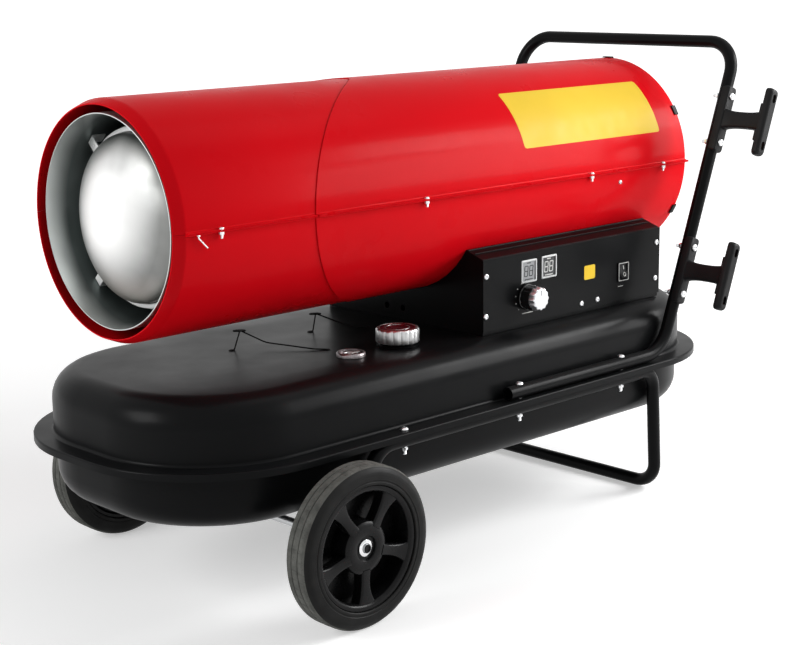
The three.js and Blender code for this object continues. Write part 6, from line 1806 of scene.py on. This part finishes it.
class HEATER_OT_stage(bpy.types.Operator):
    """Pale floor, soft studio lamps, white surroundings and the camera"""

    bl_idname = "heater.stage"
    bl_label = "Stage"

    def execute(self, context):
        scene = context.scene
        scene.view_settings.view_transform = "Standard"
        floor = Finish("floor", tuple(colours().floor), 0.9)
        floor.rough(3, 2, 0.85, 0.95)
        floor.clouds(2, 2, 0.15, darker(tuple(colours().floor), 0.97))
        ray = floor.node("ShaderNodeLightPath")
        glow = floor.node("ShaderNodeEmission")
        glow.inputs["Color"].default_value = (1, 1, 1, 1)
        seen = floor.node("ShaderNodeMath", operation="MAXIMUM")
        level = floor.node("ShaderNodeMath", operation="MULTIPLY")
        flat = floor.node("ShaderNodeVectorMath", operation="LENGTH")
        floor.link(floor.place, flat.inputs[0])
        floor.link(floor.spread(flat.outputs["Value"], 0.42, 1.0, 1.0, 3.0), level.inputs[1])
        both = floor.node("ShaderNodeAddShader")
        out = floor.tree.nodes["Material Output"]
        wired(floor.tree, (
            (ray, "Is Camera Ray", seen, 0),
            (ray, "Is Glossy Ray", seen, 1),
            (seen, "Value", level, 0),
            (level, "Value", glow, "Strength"),
            (floor.shader, "BSDF", both, 0),
            (glow, "Emission", both, 1),
            (both, "Shader", out, "Surface"),
        ))
        mesh = bpy.data.meshes.new("studio_floor")
        work = bmesh.new()
        bmesh.ops.create_grid(work, x_segments=40, y_segments=40, size=60)
        work.to_mesh(mesh)
        work.free()
        mesh.materials.append(floor.material)
        ground = bpy.data.objects.new("studio_floor", mesh)
        scene.collection.objects.link(ground)

        world = bpy.data.worlds.new("studio")
        world.use_nodes = True
        tree = world.node_tree
        back = tree.nodes["Background"]
        back.inputs["Color"].default_value = (1, 1, 1, 1)
        ray = tree.nodes.new("ShaderNodeLightPath")
        seen = tree.nodes.new("ShaderNodeMath")
        seen.operation = "MAXIMUM"
        level = tree.nodes.new("ShaderNodeMapRange")
        level.inputs["To Min"].default_value = 0.22
        level.inputs["To Max"].default_value = 1.0
        also = tree.nodes.new("ShaderNodeMath")
        also.operation = "MAXIMUM"
        wired(tree, (
            (ray, "Is Camera Ray", seen, 0),
            (ray, "Is Transmission Ray", seen, 1),
            (seen, "Value", also, 0),
            (ray, "Is Glossy Ray", also, 1),
            (also, "Value", level, "Value"),
            (level, "Result", back, "Strength"),
        ))
        scene.world = world

        for name, place, aim, width, depth, power in (
            ("side_softbox", (1.60, -1.40, 0.98), (0.5, -0.1, 0.45), 1.2, 0.8, 28),
            ("strip_softbox", (1.90, -1.10, 1.55), (0.4, -0.1, 0.40), 1.3, 0.5, 32),
            ("front_softbox", (-2.4, 0.45, 1.35), (-0.45, -0.05, 0.45), 1.2, 0.9, 30),
            ("top_softbox", (0.7, -0.3, 2.5), (0.3, 0, 0.3), 1.6, 0.8, 3),
        ):
            lamp = bpy.data.lights.new(name, "AREA")
            lamp.shape = "RECTANGLE"
            lamp.size, lamp.size_y = width, depth
            lamp.energy = power
            made = bpy.data.objects.new(name, lamp)
            made.location = place
            away = (Vector(place) - Vector(aim)).normalized()
            side = (Vector((1, 0, 0)) - away * away.x).normalized()
            if abs(away.x) > 0.9:
                side = Vector((0, 1, 0))
            made.rotation_euler = Matrix((side, away.cross(side), away)).transposed().to_euler()
            scene.collection.objects.link(made)

        camera = bpy.data.cameras.new("studio_camera")
        camera.sensor_fit = "HORIZONTAL"
        camera.sensor_width = 36
        camera.lens = sizes().lens
        camera.clip_start, camera.clip_end = 0.05, 60
        made = bpy.data.objects.new("studio_camera", camera)
        right = Vector((0.72145094, -0.69233701, -0.01334189))
        up = Vector((0.15633856, 0.14408263, 0.97713789))
        ahead = Vector((0.67458639, 0.7070429, -0.21218752))
        made.matrix_world = Matrix((
            (right.x, up.x, -ahead.x, -1.7004), (right.y, up.y, -ahead.y, -1.7779),
            (right.z, up.z, -ahead.z, 0.8507), (0, 0, 0, 1)))
        scene.collection.objects.link(made)
        scene.camera = made
        return {"FINISHED"}


# ------------------------------------------------------------------ panel and run

STEPS = (
    HEATER_OT_stage, HEATER_OT_barrel, HEATER_OT_lip_screws, HEATER_OT_label_sheet, HEATER_OT_outlet,
    HEATER_OT_guard, HEATER_OT_tank, HEATER_OT_deck_wires, HEATER_OT_frame_tubes,
    HEATER_OT_frame_bolts, HEATER_OT_cord_wraps, HEATER_OT_wheels, HEATER_OT_base, HEATER_OT_controls,
    HEATER_OT_filler, HEATER_OT_gauge, HEATER_OT_fan, HEATER_OT_motor, HEATER_OT_burner,
)


class HEATER_PT_build(bpy.types.Panel):
    """Sizes, colours and building steps of the heater"""

    bl_idname = "HEATER_PT_build"
    bl_label = "Forced Air Heater"
    bl_space_type = "VIEW_3D"
    bl_region_type = "UI"
    bl_category = "Heater"

    def draw(self, context):
        column = self.layout.column()
        for group in (context.scene.heater_sizes, context.scene.heater_colours):
            for name in group.__annotations__:
                column.prop(group, name)
        for step in STEPS:
            column.operator(step.bl_idname)


CLASSES = (HEATER_PG_sizes, HEATER_PG_colours, *STEPS, HEATER_PT_build)


def register():
    for item in CLASSES:
        bpy.utils.register_class(item)
    bpy.types.Scene.heater_sizes = bpy.props.PointerProperty(type=HEATER_PG_sizes)
    bpy.types.Scene.heater_colours = bpy.props.PointerProperty(type=HEATER_PG_colours)


def unregister():
    del bpy.types.Scene.heater_sizes
    del bpy.types.Scene.heater_colours
    for item in reversed(CLASSES):
        bpy.utils.unregister_class(item)


def main():
    register()
    for step in STEPS:
        group, name = step.bl_idname.split(".")
        getattr(getattr(bpy.ops, group), name)()


if __name__ == "__main__":
    main()
